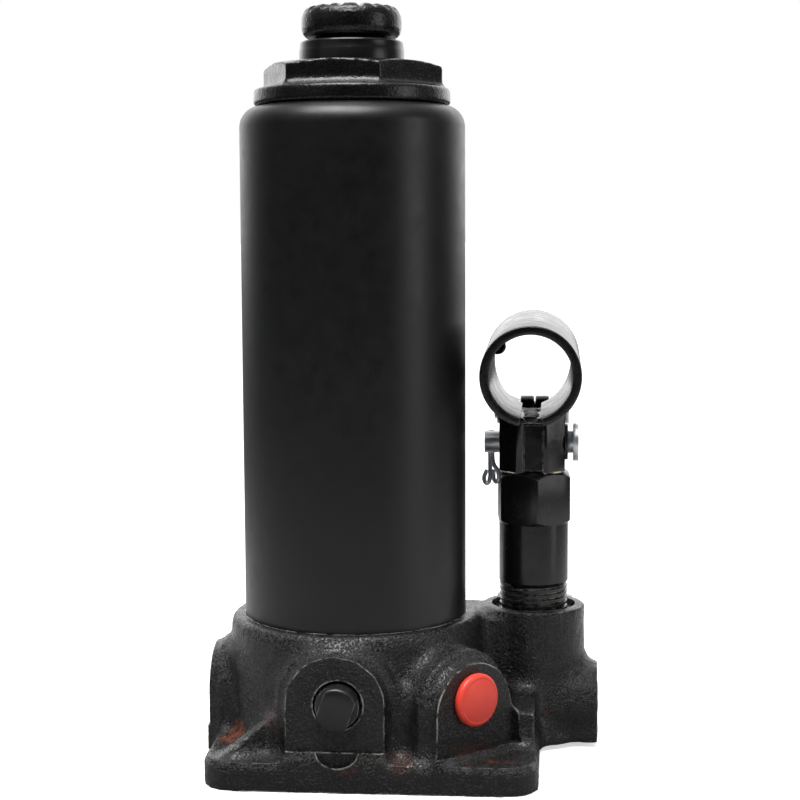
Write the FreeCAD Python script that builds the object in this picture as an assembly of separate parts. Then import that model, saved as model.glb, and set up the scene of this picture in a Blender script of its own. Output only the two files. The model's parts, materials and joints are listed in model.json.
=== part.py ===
import FreeCAD, Part
import math
import os

from FreeCAD import Vector

# Hydraulic bottle jack of the 3 tonne class: one STEP file per physical piece.
# Millimetres, +Z up.  The origin is on the underside of the base, below the ram's axis.
# +X points from the ram to the pump, and the handle socket opens towards -Y.

# Whole jack
CLOSED_HEIGHT = 194.0
FIT = 0.05                      # radial clearance of every running fit

# Base casting
PLATE_X_MIN, PLATE_X_MAX = -35.0, 48.5
PLATE_HALF_DEPTH = 38.5
PLATE_THICKNESS = 7.2
PLATE_CORNER_R = 8.0
LIP_HEIGHT = 3.0                # lower part of the plate's edge, which stands proud
LIP_PROUD = 1.2
CUP_R = 33.0
CUP_TOP = 37.4
TANK_FLOOR = 26.0
CYLINDER_SEAT = 16.0            # bottom of the pressure cylinder's gasket
CHAMBER_FLOOR = 13.0            # oil space under the ram
PASSAGE_R = 1.25
LOW_DRILL_Z = 11.5              # height of the low horizontal passages
RIB_HALF = 2.2
RIB_TOP = 22.0
WEB_HALF = 12.5                 # web from the cup to the pump boss
WEB_START = 16.0
BLOCK_X, BLOCK_Y, BLOCK_TOP = 41.0, -20.5, 16.0     # raised block in front of the pump

# Tank and pressure cylinder
TANK_R = 29.0
TANK_WALL = 2.4
TANK_BOTTOM = 31.5
TANK_TOP = 168.9
SHOULDER_R = 5.5
BORE_R = 15.0
CYLINDER_R = 18.5
CYLINDER_TOP = 170.0

# Top nut
FLANGE_R = 25.3
FLANGE_HEIGHT = 4.3
NUT_FLATS = 41.0
NUT_TOP = 179.4
NUT_TURN = 17.0                 # degrees that a corner stands away from -Y
SKIRT_R = 22.5
SKIRT_BOTTOM = 158.0
RAM_SEAL_R, RAM_SEAL_Z = 16.0, (171.6, 174.2)
RAM_WIPER_R, RAM_WIPER_Z = 15.6, (175.8, 178.4)

# Ram and extension screw
RAM_R = 13.5
RAM_TOP = 185.2
RAM_BOTTOM = 28.0
LIFT = 118.0
GUIDE_TOP = CYLINDER_TOP - LIFT
STUB_R = 7.5                    # lower stub of the ram, which carries the piston parts
NUT_Z, CUP_Z, WASHER_Z, GUIDE_Z = 30.0, 36.5, 42.0, 44.0
RAM_HOLE_BOTTOM = 60.0
SCREW_R = 9.0
SCREW_BOTTOM = 74.0
SCREW_TAIL_R = 4.0
SADDLE_R = 12.9
SADDLE_BOTTOM = RAM_TOP + 0.8
SERRATIONS = 12

# Pump
PUMP_X, PUMP_Y = 46.6, 15.0
PUMP_BOSS_R = 13.8
PUMP_BOSS_TOP = 37.0
PUMP_BOTTOM = 28.0
PUMP_TOP = 72.7
PUMP_R = 9.25
PUMP_BORE_R = 6.0
PUMP_FLATS = 18.5
PUMP_FLATS_BOTTOM = 58.8
PUMP_THREAD_R = 8.9
PUMP_THREAD_TOP = 42.8
PLUNGER_R = 5.5
PLUNGER_BOTTOM = 33.0
PLUNGER_GROOVE_R = 4.6
GLAND_R, GLAND_HEIGHT = 7.4, 4.0
TANG_EYE_R = 5.2
CHECK_BALL_R = 2.5
CHECK_SEAT = 14.0
DISCHARGE_X, DISCHARGE_SEAT = 6.0, 8.0
STRAINER_Y, STRAINER_R = 22.5, 2.5

# Handle socket, its bracket and the link
PIVOT_Z = 80.5                  # plunger pin
FULCRUM_Y, FULCRUM_Z = PUMP_Y + 24.4, PIVOT_Z + 5.4
FULCRUM_R = 2.5
LINK_FOOT_Y, LINK_FOOT_Z = PUMP_Y + 24.9, 30.0    # lower hole of the link at rest
LINK_PIN_Y, LINK_PIN_Z = PUMP_Y + 25.55, 29.95     # fixed lower pin, in that hole with play
PIN_R = 3.0
PIN_HEAD_R = 4.8
LINK_PLAY = 0.95                # radial play of the link on its lower pin
LINK_END_R = 4.8
LINK_HEAD_R = 4.0               # upper end of the link: it stays below the socket's bore
EAR = 4.6                       # thickness of each ear that holds the link's lower pin
EAR_R = 4.6
LINK_PIN_HEAD_R = 3.9
SOCKET_TILT = 1.5               # degrees that the socket's mouth hangs down at rest
SOCKET_X = 46.0
SOCKET_R = 13.0
SOCKET_BORE_R = 10.7
SOCKET_AXIS_Z = PIVOT_Z + 20.2
SOCKET_FRONT = PUMP_Y - 25.0
SOCKET_BACK = PUMP_Y + 29.0
SOCKET_GAP = 5.4
CHEEK_LEFT, CHEEK_RIGHT = 37.5, 54.9
TANG = 5.0
LINK_PLATE = 3.8
LINK_SPACE = 8.6

# Release valve and the bosses round the cup
VALVE_X, VALVE_Z = -0.6, 21.5
VALVE_R = 5.4
FRONT_PAD_Y = -36.5
VALVE_TIP_Y = -41.6
VALVE_STEM_R = 2.5
VALVE_STEM_Y, VALVE_BALL_Y = -29.0, -22.85
SEAL_Y = -32.0                  # middle of the valve's O-ring
BOSS_R = 12.4
CORNER_PAD_REACH = 43.3         # from the ram's axis to the face of the 45 degree pad
CORNER_PAD_SHIFT = 2.8
CORNER_PAD_AXIS_Z = 21.6
CORNER_BORE_R = 5.9
CORNER_BORE_DEPTH = 6.0
CAP_R = 6.6
LEFT_PAD_X = -37.4
LEFT_DRILL_Z = 13.5
PLUG_R = 4.0
PLUG_SOCKET_R = 1.8
RIGHT_LUG_X = 63.8
RIGHT_LUG_R = 9.5
FILLER_Z = 138.0
FILLER_R = 5.0


def cylinder(radius, bottom, top, x=0.0, y=0.0):
    return Part.makeCylinder(radius, top - bottom, Vector(x, y, bottom))


def tube(outer, inner, bottom, top, x=0.0, y=0.0):
    return cylinder(outer, bottom, top, x, y).cut(cylinder(inner, bottom, top, x, y))


def bar_x(radius, start, end, y, z):
    return Part.makeCylinder(radius, end - start, Vector(start, y, z), Vector(1, 0, 0))


def bar_y(radius, start, end, x, z):
    return Part.makeCylinder(radius, end - start, Vector(x, start, z), Vector(0, 1, 0))


def drilled(start, end, radius=PASSAGE_R):
    along = Vector(*end).sub(Vector(*start))
    return Part.makeCylinder(radius, along.Length, Vector(*start), along)


def block(x_range, y_range, z_range):
    size = [high - low for low, high in (x_range, y_range, z_range)]
    return Part.makeBox(*size, Vector(x_range[0], y_range[0], z_range[0]))


def joined(shapes):
    return shapes[0].multiFuse(shapes[1:]).removeSplitter()


def turned(outline, x=0.0, y=0.0):
    """Solid of revolution about the vertical line x, y from (radius, height) points."""
    points = [Vector(radius, 0, height) for radius, height in outline]
    face = Part.Face(Part.makePolygon(points + points[:1]))
    solid = face.revolve(Vector(0, 0, 0), Vector(0, 0, 1), 360)
    solid.translate(Vector(x, y, 0))
    return solid


def extruded(points, along):
    vertices = [Vector(*point) for point in points]
    return Part.Face(Part.makePolygon(vertices + vertices[:1])).extrude(Vector(*along))


def hexagon(flats, bottom, top, turn, x=0.0, y=0.0):
    """Six-sided prism with a corner at `turn` degrees from -Y."""
    corner_r = flats / math.sqrt(3)
    corners = []
    for step in range(6):
        angle = math.radians(turn - 90 + 60 * step)
        corners.append((x + corner_r * math.cos(angle), y + corner_r * math.sin(angle), bottom))
    return extruded(corners, (0, 0, top - bottom))


def corner_cone(flats, bottom, top, chamfer, both_ends, x=0.0, y=0.0):
    """Turned blank that takes the corners off a hexagon's ends."""
    corner_r = flats / math.sqrt(3) + 0.1
    inner_r = flats / 2 - 0.2
    start = [(corner_r, bottom)]
    if both_ends:
        start = [(inner_r, bottom), (corner_r, bottom + chamfer)]
    outline = [(0, bottom)] + start + [(corner_r, top - chamfer), (inner_r, top), (0, top)]
    return turned(outline, x, y)


def arch(width_r, centre_z, bottom, start, end, x):
    """Arched pad that runs along Y from start to end."""
    body = block((x - width_r, x + width_r), (start, end), (bottom, centre_z))
    return body.fuse(bar_y(width_r, start, end, x, centre_z))


def tilted(shape):
    """Hangs a piece of the handle body from its level pose to its rest pose."""
    shape.rotate(Vector(PUMP_X, PUMP_Y, PIVOT_Z), Vector(1, 0, 0), SOCKET_TILT)
    return shape


def tilted_point(y, z):
    angle = math.radians(SOCKET_TILT)
    offset_y, offset_z = y - PUMP_Y, z - PIVOT_Z
    return (PUMP_Y + offset_y * math.cos(angle) - offset_z * math.sin(angle),
            PIVOT_Z + offset_y * math.sin(angle) + offset_z * math.cos(angle))


def plate():
    low = block((PLATE_X_MIN, PLATE_X_MAX), (-PLATE_HALF_DEPTH, PLATE_HALF_DEPTH), (0, LIP_HEIGHT))
    inset = LIP_PROUD
    high = block((PLATE_X_MIN + inset, PLATE_X_MAX - inset),
                 (inset - PLATE_HALF_DEPTH, PLATE_HALF_DEPTH - inset), (0, PLATE_THICKNESS))
    rounded = []
    for slab in (low, high):
        uprights = [edge for edge in slab.Edges if abs(edge.tangentAt(0).z) > 0.9]
        rounded.append(slab.makeFillet(PLATE_CORNER_R, uprights))
    return rounded


def corner_ribs():
    """Sloping ribs from the plate's corners up to the cup."""
    ribs = []
    for x, y in ((PLATE_X_MIN, -PLATE_HALF_DEPTH), (PLATE_X_MIN, PLATE_HALF_DEPTH),
                 (PLATE_X_MAX - 14, PLATE_HALF_DEPTH)):
        reach = math.hypot(x, y) - 6.5
        rib = extruded([(CUP_R - 4, -RIB_HALF, 4), (reach, -RIB_HALF, 4),
                        (reach, -RIB_HALF, PLATE_THICKNESS), (CUP_R - 4, -RIB_HALF, RIB_TOP)],
                       (0, 2 * RIB_HALF, 0))
        rib.rotate(Vector(0, 0, 0), Vector(0, 0, 1), math.degrees(math.atan2(y, x)))
        ribs.append(rib)
    return ribs


def corner_frame(shape):
    """Turns a piece made facing -Y to the 45 degree pad's direction."""
    shape.translate(Vector(CORNER_PAD_SHIFT, 0, 0))
    shape.rotate(Vector(0, 0, 0), Vector(0, 0, 1), 45)
    return shape


def left_frame(shape):
    """Turns a piece made facing -Y to face -X."""
    shape.rotate(Vector(0, 0, 0), Vector(0, 0, 1), -90)
    return shape


def link_lug():
    """Two ears behind the pump that hold the lower link pin."""
    outer = LINK_SPACE / 2 + EAR
    ear = joined([
        block((PUMP_X - outer, PUMP_X + outer), (LINK_PIN_Y - 14, LINK_PIN_Y + EAR_R), (0, LINK_PIN_Z)),
        bar_x(EAR_R, PUMP_X - outer, PUMP_X + outer, LINK_PIN_Y, LINK_PIN_Z),
    ])
    slot = block((PUMP_X - LINK_SPACE / 2, PUMP_X + LINK_SPACE / 2),
                 (LINK_PIN_Y - 7, LINK_PIN_Y + 8), (LINK_PIN_Z - 8, LINK_PIN_Z + 8))
    return ear.cut(slot)


def oil_passages():
    """Drilled ways: tank to pump, pump to ram, ram to release valve, and the valves back to the tank."""
    low = LOW_DRILL_Z
    discharge = (DISCHARGE_X, 0, DISCHARGE_SEAT - 1.5)
    seat_y = VALVE_BALL_Y + 2.2
    ways = [
        drilled((PUMP_X + 8, PUMP_Y - 2, low), (0, STRAINER_Y, low)),
        drilled((0, STRAINER_Y, low), (0, STRAINER_Y, TANK_FLOOR - 9)),
        drilled((PUMP_X, PUMP_Y, low), (PUMP_X, PUMP_Y, CHECK_SEAT)),
        drilled((PUMP_X, PUMP_Y, 20), discharge),
        drilled(discharge, (DISCHARGE_X, 0, DISCHARGE_SEAT)),
        drilled((VALVE_X, seat_y, VALVE_Z), (VALVE_X, seat_y, low)),
        drilled((VALVE_X, seat_y, low), (VALVE_X, -8, low)),
        drilled((VALVE_X, -8, low), (VALVE_X, -8, CHAMBER_FLOOR)),
        drilled((VALVE_X, -25.3, VALVE_Z), (VALVE_X, -25.3, TANK_FLOOR)),
        drilled((PLATE_X_MIN + 8, 0, LEFT_DRILL_Z), (-10, 0, LEFT_DRILL_Z)),
        drilled((19, -15, CORNER_PAD_AXIS_Z), (20, 5.2, 11.2)),
        corner_frame(drilled((0, -25, CORNER_PAD_AXIS_Z), (0, -25, TANK_FLOOR))),
    ]
    return ways


def base_casting():
    bosses = [
        cylinder(CUP_R, 0, CUP_TOP),
        block((WEB_START, PUMP_X), (PUMP_Y - WEB_HALF, PUMP_Y + WEB_HALF), (0, CUP_TOP - 2.8)),
        cylinder(PUMP_BOSS_R, 0, PUMP_BOSS_TOP, PUMP_X, PUMP_Y),
        arch(BOSS_R, 21.2, 4, FRONT_PAD_Y, -20, VALVE_X - 0.8),
        corner_frame(arch(BOSS_R, 18.3, 4, -CORNER_PAD_REACH, -20, 0)),
        left_frame(arch(11.5, 17.0, 2, LEFT_PAD_X, -20, 0)),
        block((BLOCK_X, PLATE_X_MAX - LIP_PROUD), (BLOCK_Y, PUMP_Y), (0, BLOCK_TOP)),
        bar_x(RIGHT_LUG_R, PUMP_X, RIGHT_LUG_X, PUMP_Y - 2, LOW_DRILL_Z).common(
            block((0, 80), (-40, 40), (0, 40))),
        block((PUMP_X, RIGHT_LUG_X), (PUMP_Y - 9, PUMP_Y + 8), (0, LOW_DRILL_Z)),
        link_lug(),
    ]
    solid = joined(plate() + corner_ribs() + bosses)
    mouth, step = -CORNER_PAD_REACH, CORNER_BORE_DEPTH - CORNER_PAD_REACH
    corner_bore = corner_frame(joined([bar_y(CORNER_BORE_R, mouth, step, 0, CORNER_PAD_AXIS_Z),
                                       bar_y(3.0, step, -24, 0, CORNER_PAD_AXIS_Z)]))
    hollows = [
        cylinder(TANK_R, TANK_BOTTOM - 1.0, CUP_TOP),
        cylinder(TANK_R - TANK_WALL, TANK_FLOOR, TANK_BOTTOM),
        cylinder(CYLINDER_R, CYLINDER_SEAT, TANK_FLOOR),
        cylinder(BORE_R - 1, CHAMBER_FLOOR, CYLINDER_SEAT),
        cylinder(PUMP_THREAD_R, PUMP_BOTTOM - 1.0, PUMP_BOSS_TOP, PUMP_X, PUMP_Y),
        cylinder(PUMP_THREAD_R + 1.6, PUMP_BOSS_TOP - 1.6, PUMP_BOSS_TOP, PUMP_X, PUMP_Y),
        cylinder(CHECK_BALL_R + 0.4, CHECK_SEAT, PUMP_BOTTOM, PUMP_X, PUMP_Y),
        bar_y(VALVE_R + FIT, FRONT_PAD_Y, VALVE_STEM_Y, VALVE_X, VALVE_Z),
        bar_y(VALVE_STEM_R + FIT, VALVE_STEM_Y, VALVE_BALL_Y + 1.9, VALVE_X, VALVE_Z),
        corner_bore,
        left_frame(bar_y(PLUG_R, LEFT_PAD_X, LEFT_PAD_X + 12, 0, LEFT_DRILL_Z)),
        bar_x(PLUG_R, RIGHT_LUG_X - 10, RIGHT_LUG_X, PUMP_Y - 2, LOW_DRILL_Z),
        bar_x(PIN_R, PUMP_X - 20, PUMP_X + 20, LINK_PIN_Y, LINK_PIN_Z),
        cylinder(CHECK_BALL_R + 0.4, DISCHARGE_SEAT, CHAMBER_FLOOR, DISCHARGE_X, 0),
        cylinder(STRAINER_R, TANK_FLOOR - 9, TANK_FLOOR, 0, STRAINER_Y),
    ]
    for hollow in hollows + oil_passages():
        solid = solid.cut(hollow)
    return solid


def tank_gasket():
    return tube(TANK_R, TANK_R - TANK_WALL, TANK_BOTTOM - 1.0, TANK_BOTTOM)


def tank_tube():
    """Tube with a rounded, turned-in top edge, and the filler hole in its far side."""
    body = tube(TANK_R, TANK_R - TANK_WALL, TANK_BOTTOM, TANK_TOP - SHOULDER_R)
    shoulder = cylinder(TANK_R, TANK_TOP - SHOULDER_R, TANK_TOP)
    rim = [edge for edge in shoulder.Edges if edge.Closed and edge.BoundBox.ZMin > TANK_TOP - 0.1]
    shoulder = shoulder.makeFillet(SHOULDER_R - 0.1, rim)
    shoulder = shoulder.cut(cylinder(SKIRT_R + 0.7, TANK_TOP - SHOULDER_R, TANK_TOP))
    shoulder = shoulder.cut(Part.makeCone(TANK_R - TANK_WALL, SKIRT_R + 0.7, 4.0,
                                          Vector(0, 0, TANK_TOP - SHOULDER_R)))
    return body.fuse(shoulder).removeSplitter().cut(bar_y(FILLER_R, 20, 35, 0, FILLER_Z))


def tank_seal():
    """Square-section ring between the tank's top edge and the nut's skirt."""
    return tube(SKIRT_R + 0.7, SKIRT_R, TANK_TOP - 1.8, TANK_TOP)


def cylinder_gasket():
    return tube(CYLINDER_R, BORE_R - 1, CYLINDER_SEAT, CYLINDER_SEAT + 1.2)


def pressure_cylinder():
    return tube(CYLINDER_R, BORE_R, CYLINDER_SEAT + 1.2, CYLINDER_TOP)


def top_nut():
    flange_top = TANK_TOP + FLANGE_HEIGHT
    blank = turned([(CYLINDER_R, SKIRT_BOTTOM), (SKIRT_R, SKIRT_BOTTOM), (SKIRT_R, TANK_TOP),
                    (FLANGE_R - 0.6, TANK_TOP), (FLANGE_R, TANK_TOP + 0.8), (FLANGE_R, flange_top - 1.2),
                    (FLANGE_R - 1.0, flange_top), (CYLINDER_R, flange_top)])
    head = hexagon(NUT_FLATS, flange_top - 2, NUT_TOP, NUT_TURN)
    head = head.common(corner_cone(NUT_FLATS, flange_top - 2, NUT_TOP, 1.8, False))
    nut = blank.fuse(head).removeSplitter()
    seal_low, seal_high = RAM_SEAL_Z
    wiper_low, wiper_high = RAM_WIPER_Z
    slide = RAM_R + FIT
    bore = turned([(0, SKIRT_BOTTOM), (CYLINDER_R, SKIRT_BOTTOM), (CYLINDER_R, CYLINDER_TOP),
                   (slide, CYLINDER_TOP), (slide, seal_low), (RAM_SEAL_R, seal_low),
                   (RAM_SEAL_R, seal_high), (slide, seal_high), (slide, wiper_low),
                   (RAM_WIPER_R, wiper_low), (RAM_WIPER_R, wiper_high), (slide, wiper_high),
                   (slide, NUT_TOP), (0, NUT_TOP)])
    return nut.cut(bore)


def ram_seal():
    return tube(RAM_SEAL_R, RAM_R + FIT, *RAM_SEAL_Z)


def ram_wiper():
    return tube(RAM_WIPER_R, RAM_R + FIT, *RAM_WIPER_Z)


def ram():
    """Hollow ram: a stub below carries the piston parts, and the screw goes in from the top."""
    edge = 1.6
    return turned([(0, RAM_BOTTOM), (STUB_R, RAM_BOTTOM), (STUB_R, GUIDE_Z), (RAM_R, GUIDE_Z),
                   (RAM_R, RAM_TOP - edge), (RAM_R - edge / 3, RAM_TOP - edge / 3),
                   (RAM_R - edge, RAM_TOP), (SCREW_R + FIT, RAM_TOP),
                   (SCREW_R + FIT, RAM_HOLE_BOTTOM), (0, RAM_HOLE_BOTTOM)])


def ram_guide():
    return tube(BORE_R - FIT, RAM_R, GUIDE_Z, GUIDE_TOP)


def piston_cup():
    return turned([(STUB_R, CUP_Z), (BORE_R - 1.2, CUP_Z), (BORE_R - FIT, CUP_Z - 1.5),
                   (BORE_R - FIT, WASHER_Z), (STUB_R, WASHER_Z)])


def cup_washer():
    return tube(BORE_R - 0.4, STUB_R, WASHER_Z, GUIDE_Z)


def piston_nut():
    return hexagon(20.0, NUT_Z, CUP_Z, 0).cut(cylinder(STUB_R, NUT_Z, CUP_Z))


def screw_stop_washer():
    """Loose washer that the screw's tail turns in; it stops the screw at the end of its thread."""
    return tube(SCREW_R, SCREW_TAIL_R + FIT, SCREW_BOTTOM - 3.0, SCREW_BOTTOM)


def screw_tail_clip():
    return tube(6.5, SCREW_TAIL_R, SCREW_BOTTOM - 4.6, SCREW_BOTTOM - 3.1)


def extension_screw():
    """Threaded rod with the saddle forged on its top."""
    neck = 10.6
    tail = SCREW_TAIL_R
    rod = turned([(0, SCREW_BOTTOM - 6.0), (tail, SCREW_BOTTOM - 6.0), (tail, SCREW_BOTTOM),
                  (SCREW_R, SCREW_BOTTOM), (SCREW_R, SADDLE_BOTTOM), (neck, SADDLE_BOTTOM),
                  (SADDLE_R - 0.5, SADDLE_BOTTOM + 1.6), (SADDLE_R, SADDLE_BOTTOM + 3.6),
                  (SADDLE_R - 0.5, SADDLE_BOTTOM + 5.8), (SADDLE_R - 2.2, CLOSED_HEIGHT),
                  (6.5, CLOSED_HEIGHT), (5.0, CLOSED_HEIGHT - 1.5), (0, CLOSED_HEIGHT - 1.5)])
    for step in range(SERRATIONS):
        groove = block((6.0, SADDLE_R + 1), (-0.9, 0.9), (CLOSED_HEIGHT - 1.0, CLOSED_HEIGHT + 1))
        groove.rotate(Vector(0, 0, 0), Vector(0, 0, 1), 360 / SERRATIONS * (step + 0.5))
        rod = rod.cut(groove)
    return rod


def pump_gasket():
    return tube(PUMP_THREAD_R, PUMP_BORE_R, PUMP_BOTTOM - 1.0, PUMP_BOTTOM, PUMP_X, PUMP_Y)


def pump_cylinder():
    barrel = turned([(PUMP_BORE_R, PUMP_BOTTOM), (PUMP_THREAD_R, PUMP_BOTTOM),
                     (PUMP_THREAD_R, PUMP_THREAD_TOP), (PUMP_R, PUMP_THREAD_TOP + 0.4),
                     (PUMP_R, PUMP_FLATS_BOTTOM + 2), (PUMP_BORE_R, PUMP_FLATS_BOTTOM + 2)], PUMP_X, PUMP_Y)
    head = hexagon(PUMP_FLATS, PUMP_FLATS_BOTTOM, PUMP_TOP, 6, PUMP_X, PUMP_Y)
    head = head.common(corner_cone(PUMP_FLATS, PUMP_FLATS_BOTTOM, PUMP_TOP, 1.2, True, PUMP_X, PUMP_Y))
    body = barrel.fuse(head).removeSplitter()
    body = body.cut(cylinder(PUMP_BORE_R, PUMP_BOTTOM, PUMP_TOP, PUMP_X, PUMP_Y))
    return body.cut(cylinder(GLAND_R, PUMP_TOP - GLAND_HEIGHT, PUMP_TOP, PUMP_X, PUMP_Y))


def pump_gland():
    return tube(GLAND_R, PLUNGER_R + FIT, PUMP_TOP - GLAND_HEIGHT, PUMP_TOP - 0.4, PUMP_X, PUMP_Y)


def pump_plunger():
    """Rod with a guide collar below and a flat tang above for the pin."""
    groove = PLUNGER_GROOVE_R
    rod = turned([(0, PLUNGER_BOTTOM), (groove, PLUNGER_BOTTOM), (groove, PLUNGER_BOTTOM + 3),
                  (PUMP_BORE_R - FIT, PLUNGER_BOTTOM + 3), (PUMP_BORE_R - FIT, PLUNGER_BOTTOM + 6),
                  (PLUNGER_R, PLUNGER_BOTTOM + 7), (PLUNGER_R, PUMP_TOP), (0, PUMP_TOP)], PUMP_X, PUMP_Y)
    tang_x = (PUMP_X - TANG / 2, PUMP_X + TANG / 2)
    tang = block(tang_x, (PUMP_Y - TANG_EYE_R, PUMP_Y + TANG_EYE_R), (PUMP_TOP - 1, PIVOT_Z))
    tang = tang.common(cylinder(PLUNGER_R, PUMP_TOP - 1, PIVOT_Z, PUMP_X, PUMP_Y))
    eye = bar_x(TANG_EYE_R, *tang_x, PUMP_Y, PIVOT_Z)
    hole = bar_x(PIN_R + FIT, PUMP_X - 10, PUMP_X + 10, PUMP_Y, PIVOT_Z)
    return joined([rod, tang, eye]).cut(hole)


def plunger_seal():
    return tube(PUMP_BORE_R - 0.02, PLUNGER_GROOVE_R, PLUNGER_BOTTOM + 0.6, PLUNGER_BOTTOM + 3,
                PUMP_X, PUMP_Y)


def handle_socket():
    """Sheet rolled into a sleeve, open along the bottom and cut away at the back."""
    gap_half = SOCKET_GAP / 2
    sleeve = bar_y(SOCKET_R, SOCKET_FRONT, SOCKET_BACK, SOCKET_X, SOCKET_AXIS_Z)
    sleeve = sleeve.cut(bar_y(SOCKET_BORE_R, SOCKET_FRONT, SOCKET_BACK, SOCKET_X, SOCKET_AXIS_Z))
    sleeve = sleeve.cut(block((SOCKET_X - gap_half, SOCKET_X + gap_half), (SOCKET_FRONT, SOCKET_BACK),
                              (SOCKET_AXIS_Z - 15, SOCKET_AXIS_Z)))
    wedge = extruded([(SOCKET_X - 20, PUMP_Y - 2, SOCKET_AXIS_Z - 14),
                      (SOCKET_X - 20, SOCKET_BACK + 1, SOCKET_AXIS_Z + 0.5),
                      (SOCKET_X - 20, SOCKET_BACK + 1, SOCKET_AXIS_Z - 14)], (40, 0, 0))
    return tilted(sleeve.cut(wedge))


def socket_bracket():
    """Forked bracket welded under the sleeve: cheeks on the plunger pin, ears on the link pin."""
    underside = PUMP_TOP + 0.6
    outline = [(PUMP_Y - 8, underside), (PUMP_Y + 2.5, underside), (PUMP_Y + 4.6, PIVOT_Z - 5.8),
               (PUMP_Y + 9.4, PIVOT_Z - 2.2), (FULCRUM_Y - 4, FULCRUM_Z - 5.6),
               (FULCRUM_Y + 2, FULCRUM_Z - 5.6), (FULCRUM_Y + 5.6, FULCRUM_Z - 2),
               (FULCRUM_Y + 5.6, FULCRUM_Z + 3), (FULCRUM_Y + 2, FULCRUM_Z + 6.5), (PUMP_Y + 12, 92.0),
               (PUMP_Y - 8, 92.0)]
    body = extruded([(CHEEK_LEFT, y, z) for y, z in outline], (CHEEK_RIGHT - CHEEK_LEFT, 0, 0))
    body = body.cut(bar_y(SOCKET_R, -20, 60, SOCKET_X, SOCKET_AXIS_Z))
    tang_slot = block((PUMP_X - TANG / 2 - 0.15, PUMP_X + TANG / 2 + 0.15),
                      (PUMP_Y - 9, PUMP_Y + 12), (underside - 1, PIVOT_Z + 5.9))
    link_slot = block((PUMP_X - LINK_SPACE / 2, PUMP_X + LINK_SPACE / 2),
                      (FULCRUM_Y - 11, FULCRUM_Y + 9), (underside - 1, 95))
    body = body.cut(tang_slot).cut(link_slot)
    for radius, y, z in ((PIN_R, PUMP_Y, PIVOT_Z), (FULCRUM_R, FULCRUM_Y, FULCRUM_Z)):
        body = body.cut(bar_x(radius, 30, 65, y, z))
    return tilted(body)


def plunger_pin():
    shank = bar_x(PIN_R, CHEEK_LEFT - 4.0, CHEEK_RIGHT + 2.2, PUMP_Y, PIVOT_Z)
    head = bar_x(5.1, CHEEK_RIGHT + 2.2, CHEEK_RIGHT + 3.6, PUMP_Y, PIVOT_Z)
    hole = cylinder(0.85, PIVOT_Z - 5, PIVOT_Z + 5, CHEEK_LEFT - 2.2, PUMP_Y)
    return tilted(shank.fuse(head).removeSplitter().cut(hole))


def pin_washer():
    ring = bar_x(PIN_HEAD_R, CHEEK_RIGHT, CHEEK_RIGHT + 0.8, PUMP_Y, PIVOT_Z)
    return tilted(ring.cut(bar_x(PIN_R, CHEEK_RIGHT, CHEEK_RIGHT + 0.8, PUMP_Y, PIVOT_Z)))


def cotter_pin():
    """Split pin through the plunger pin's end, with its eye below and its legs bent above."""
    x = CHEEK_LEFT - 2.2
    legs = cylinder(0.8, PIVOT_Z - 5.0, PIVOT_Z + 4.6, x, PUMP_Y)
    eye = Part.makeTorus(1.9, 0.55, Vector(x - 0.6, PUMP_Y, PIVOT_Z - 6.6), Vector(0, 1, 0))
    return tilted(joined([legs, eye]))


def fulcrum_pin():
    shank = bar_x(FULCRUM_R, CHEEK_LEFT - 2.2, CHEEK_RIGHT, FULCRUM_Y, FULCRUM_Z)
    head = bar_x(LINK_PIN_HEAD_R, CHEEK_RIGHT, CHEEK_RIGHT + 1.3, FULCRUM_Y, FULCRUM_Z)
    return tilted(shank.fuse(head).removeSplitter())


def fulcrum_clip():
    ring = bar_x(LINK_PIN_HEAD_R, CHEEK_LEFT - 1.4, CHEEK_LEFT - 0.4, FULCRUM_Y, FULCRUM_Z)
    return tilted(ring.cut(bar_x(FULCRUM_R, CHEEK_LEFT - 2, CHEEK_LEFT, FULCRUM_Y, FULCRUM_Z)))


def link_plate(side):
    """Flat link, one on each side of the pump's middle plane; side is -1 or +1."""
    near, far = sorted((PUMP_X + side * 0.2, PUMP_X + side * (0.2 + LINK_PLATE)))
    top_y, top_z = tilted_point(FULCRUM_Y, FULCRUM_Z)
    head_z = LINK_FOOT_Z + math.hypot(top_y - LINK_FOOT_Y, top_z - LINK_FOOT_Z)
    strap = extruded([(near, LINK_FOOT_Y - LINK_END_R, LINK_FOOT_Z),
                      (near, LINK_FOOT_Y + LINK_END_R, LINK_FOOT_Z),
                      (near, LINK_FOOT_Y + LINK_HEAD_R, head_z),
                      (near, LINK_FOOT_Y - LINK_HEAD_R, head_z)], (far - near, 0, 0))
    body = joined([strap, bar_x(LINK_END_R, near, far, LINK_FOOT_Y, LINK_FOOT_Z),
                   bar_x(LINK_HEAD_R, near, far, LINK_FOOT_Y, head_z)])
    body = body.cut(bar_x(PIN_R + LINK_PLAY, near - 1, far + 1, LINK_FOOT_Y, LINK_FOOT_Z))
    body = body.cut(bar_x(FULCRUM_R + FIT, near - 1, far + 1, LINK_FOOT_Y, head_z))
    lean = math.degrees(math.atan2(LINK_FOOT_Y - top_y, top_z - LINK_FOOT_Z))
    body.rotate(Vector(0, LINK_FOOT_Y, LINK_FOOT_Z), Vector(1, 0, 0), lean)
    return body


def link_pin():
    reach = LINK_SPACE / 2 + EAR
    shank = bar_x(PIN_R, PUMP_X - reach - 3, PUMP_X + reach, LINK_PIN_Y, LINK_PIN_Z)
    head = bar_x(LINK_PIN_HEAD_R, PUMP_X + reach, PUMP_X + reach + 1.8, LINK_PIN_Y, LINK_PIN_Z)
    return shank.fuse(head).removeSplitter()


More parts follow.
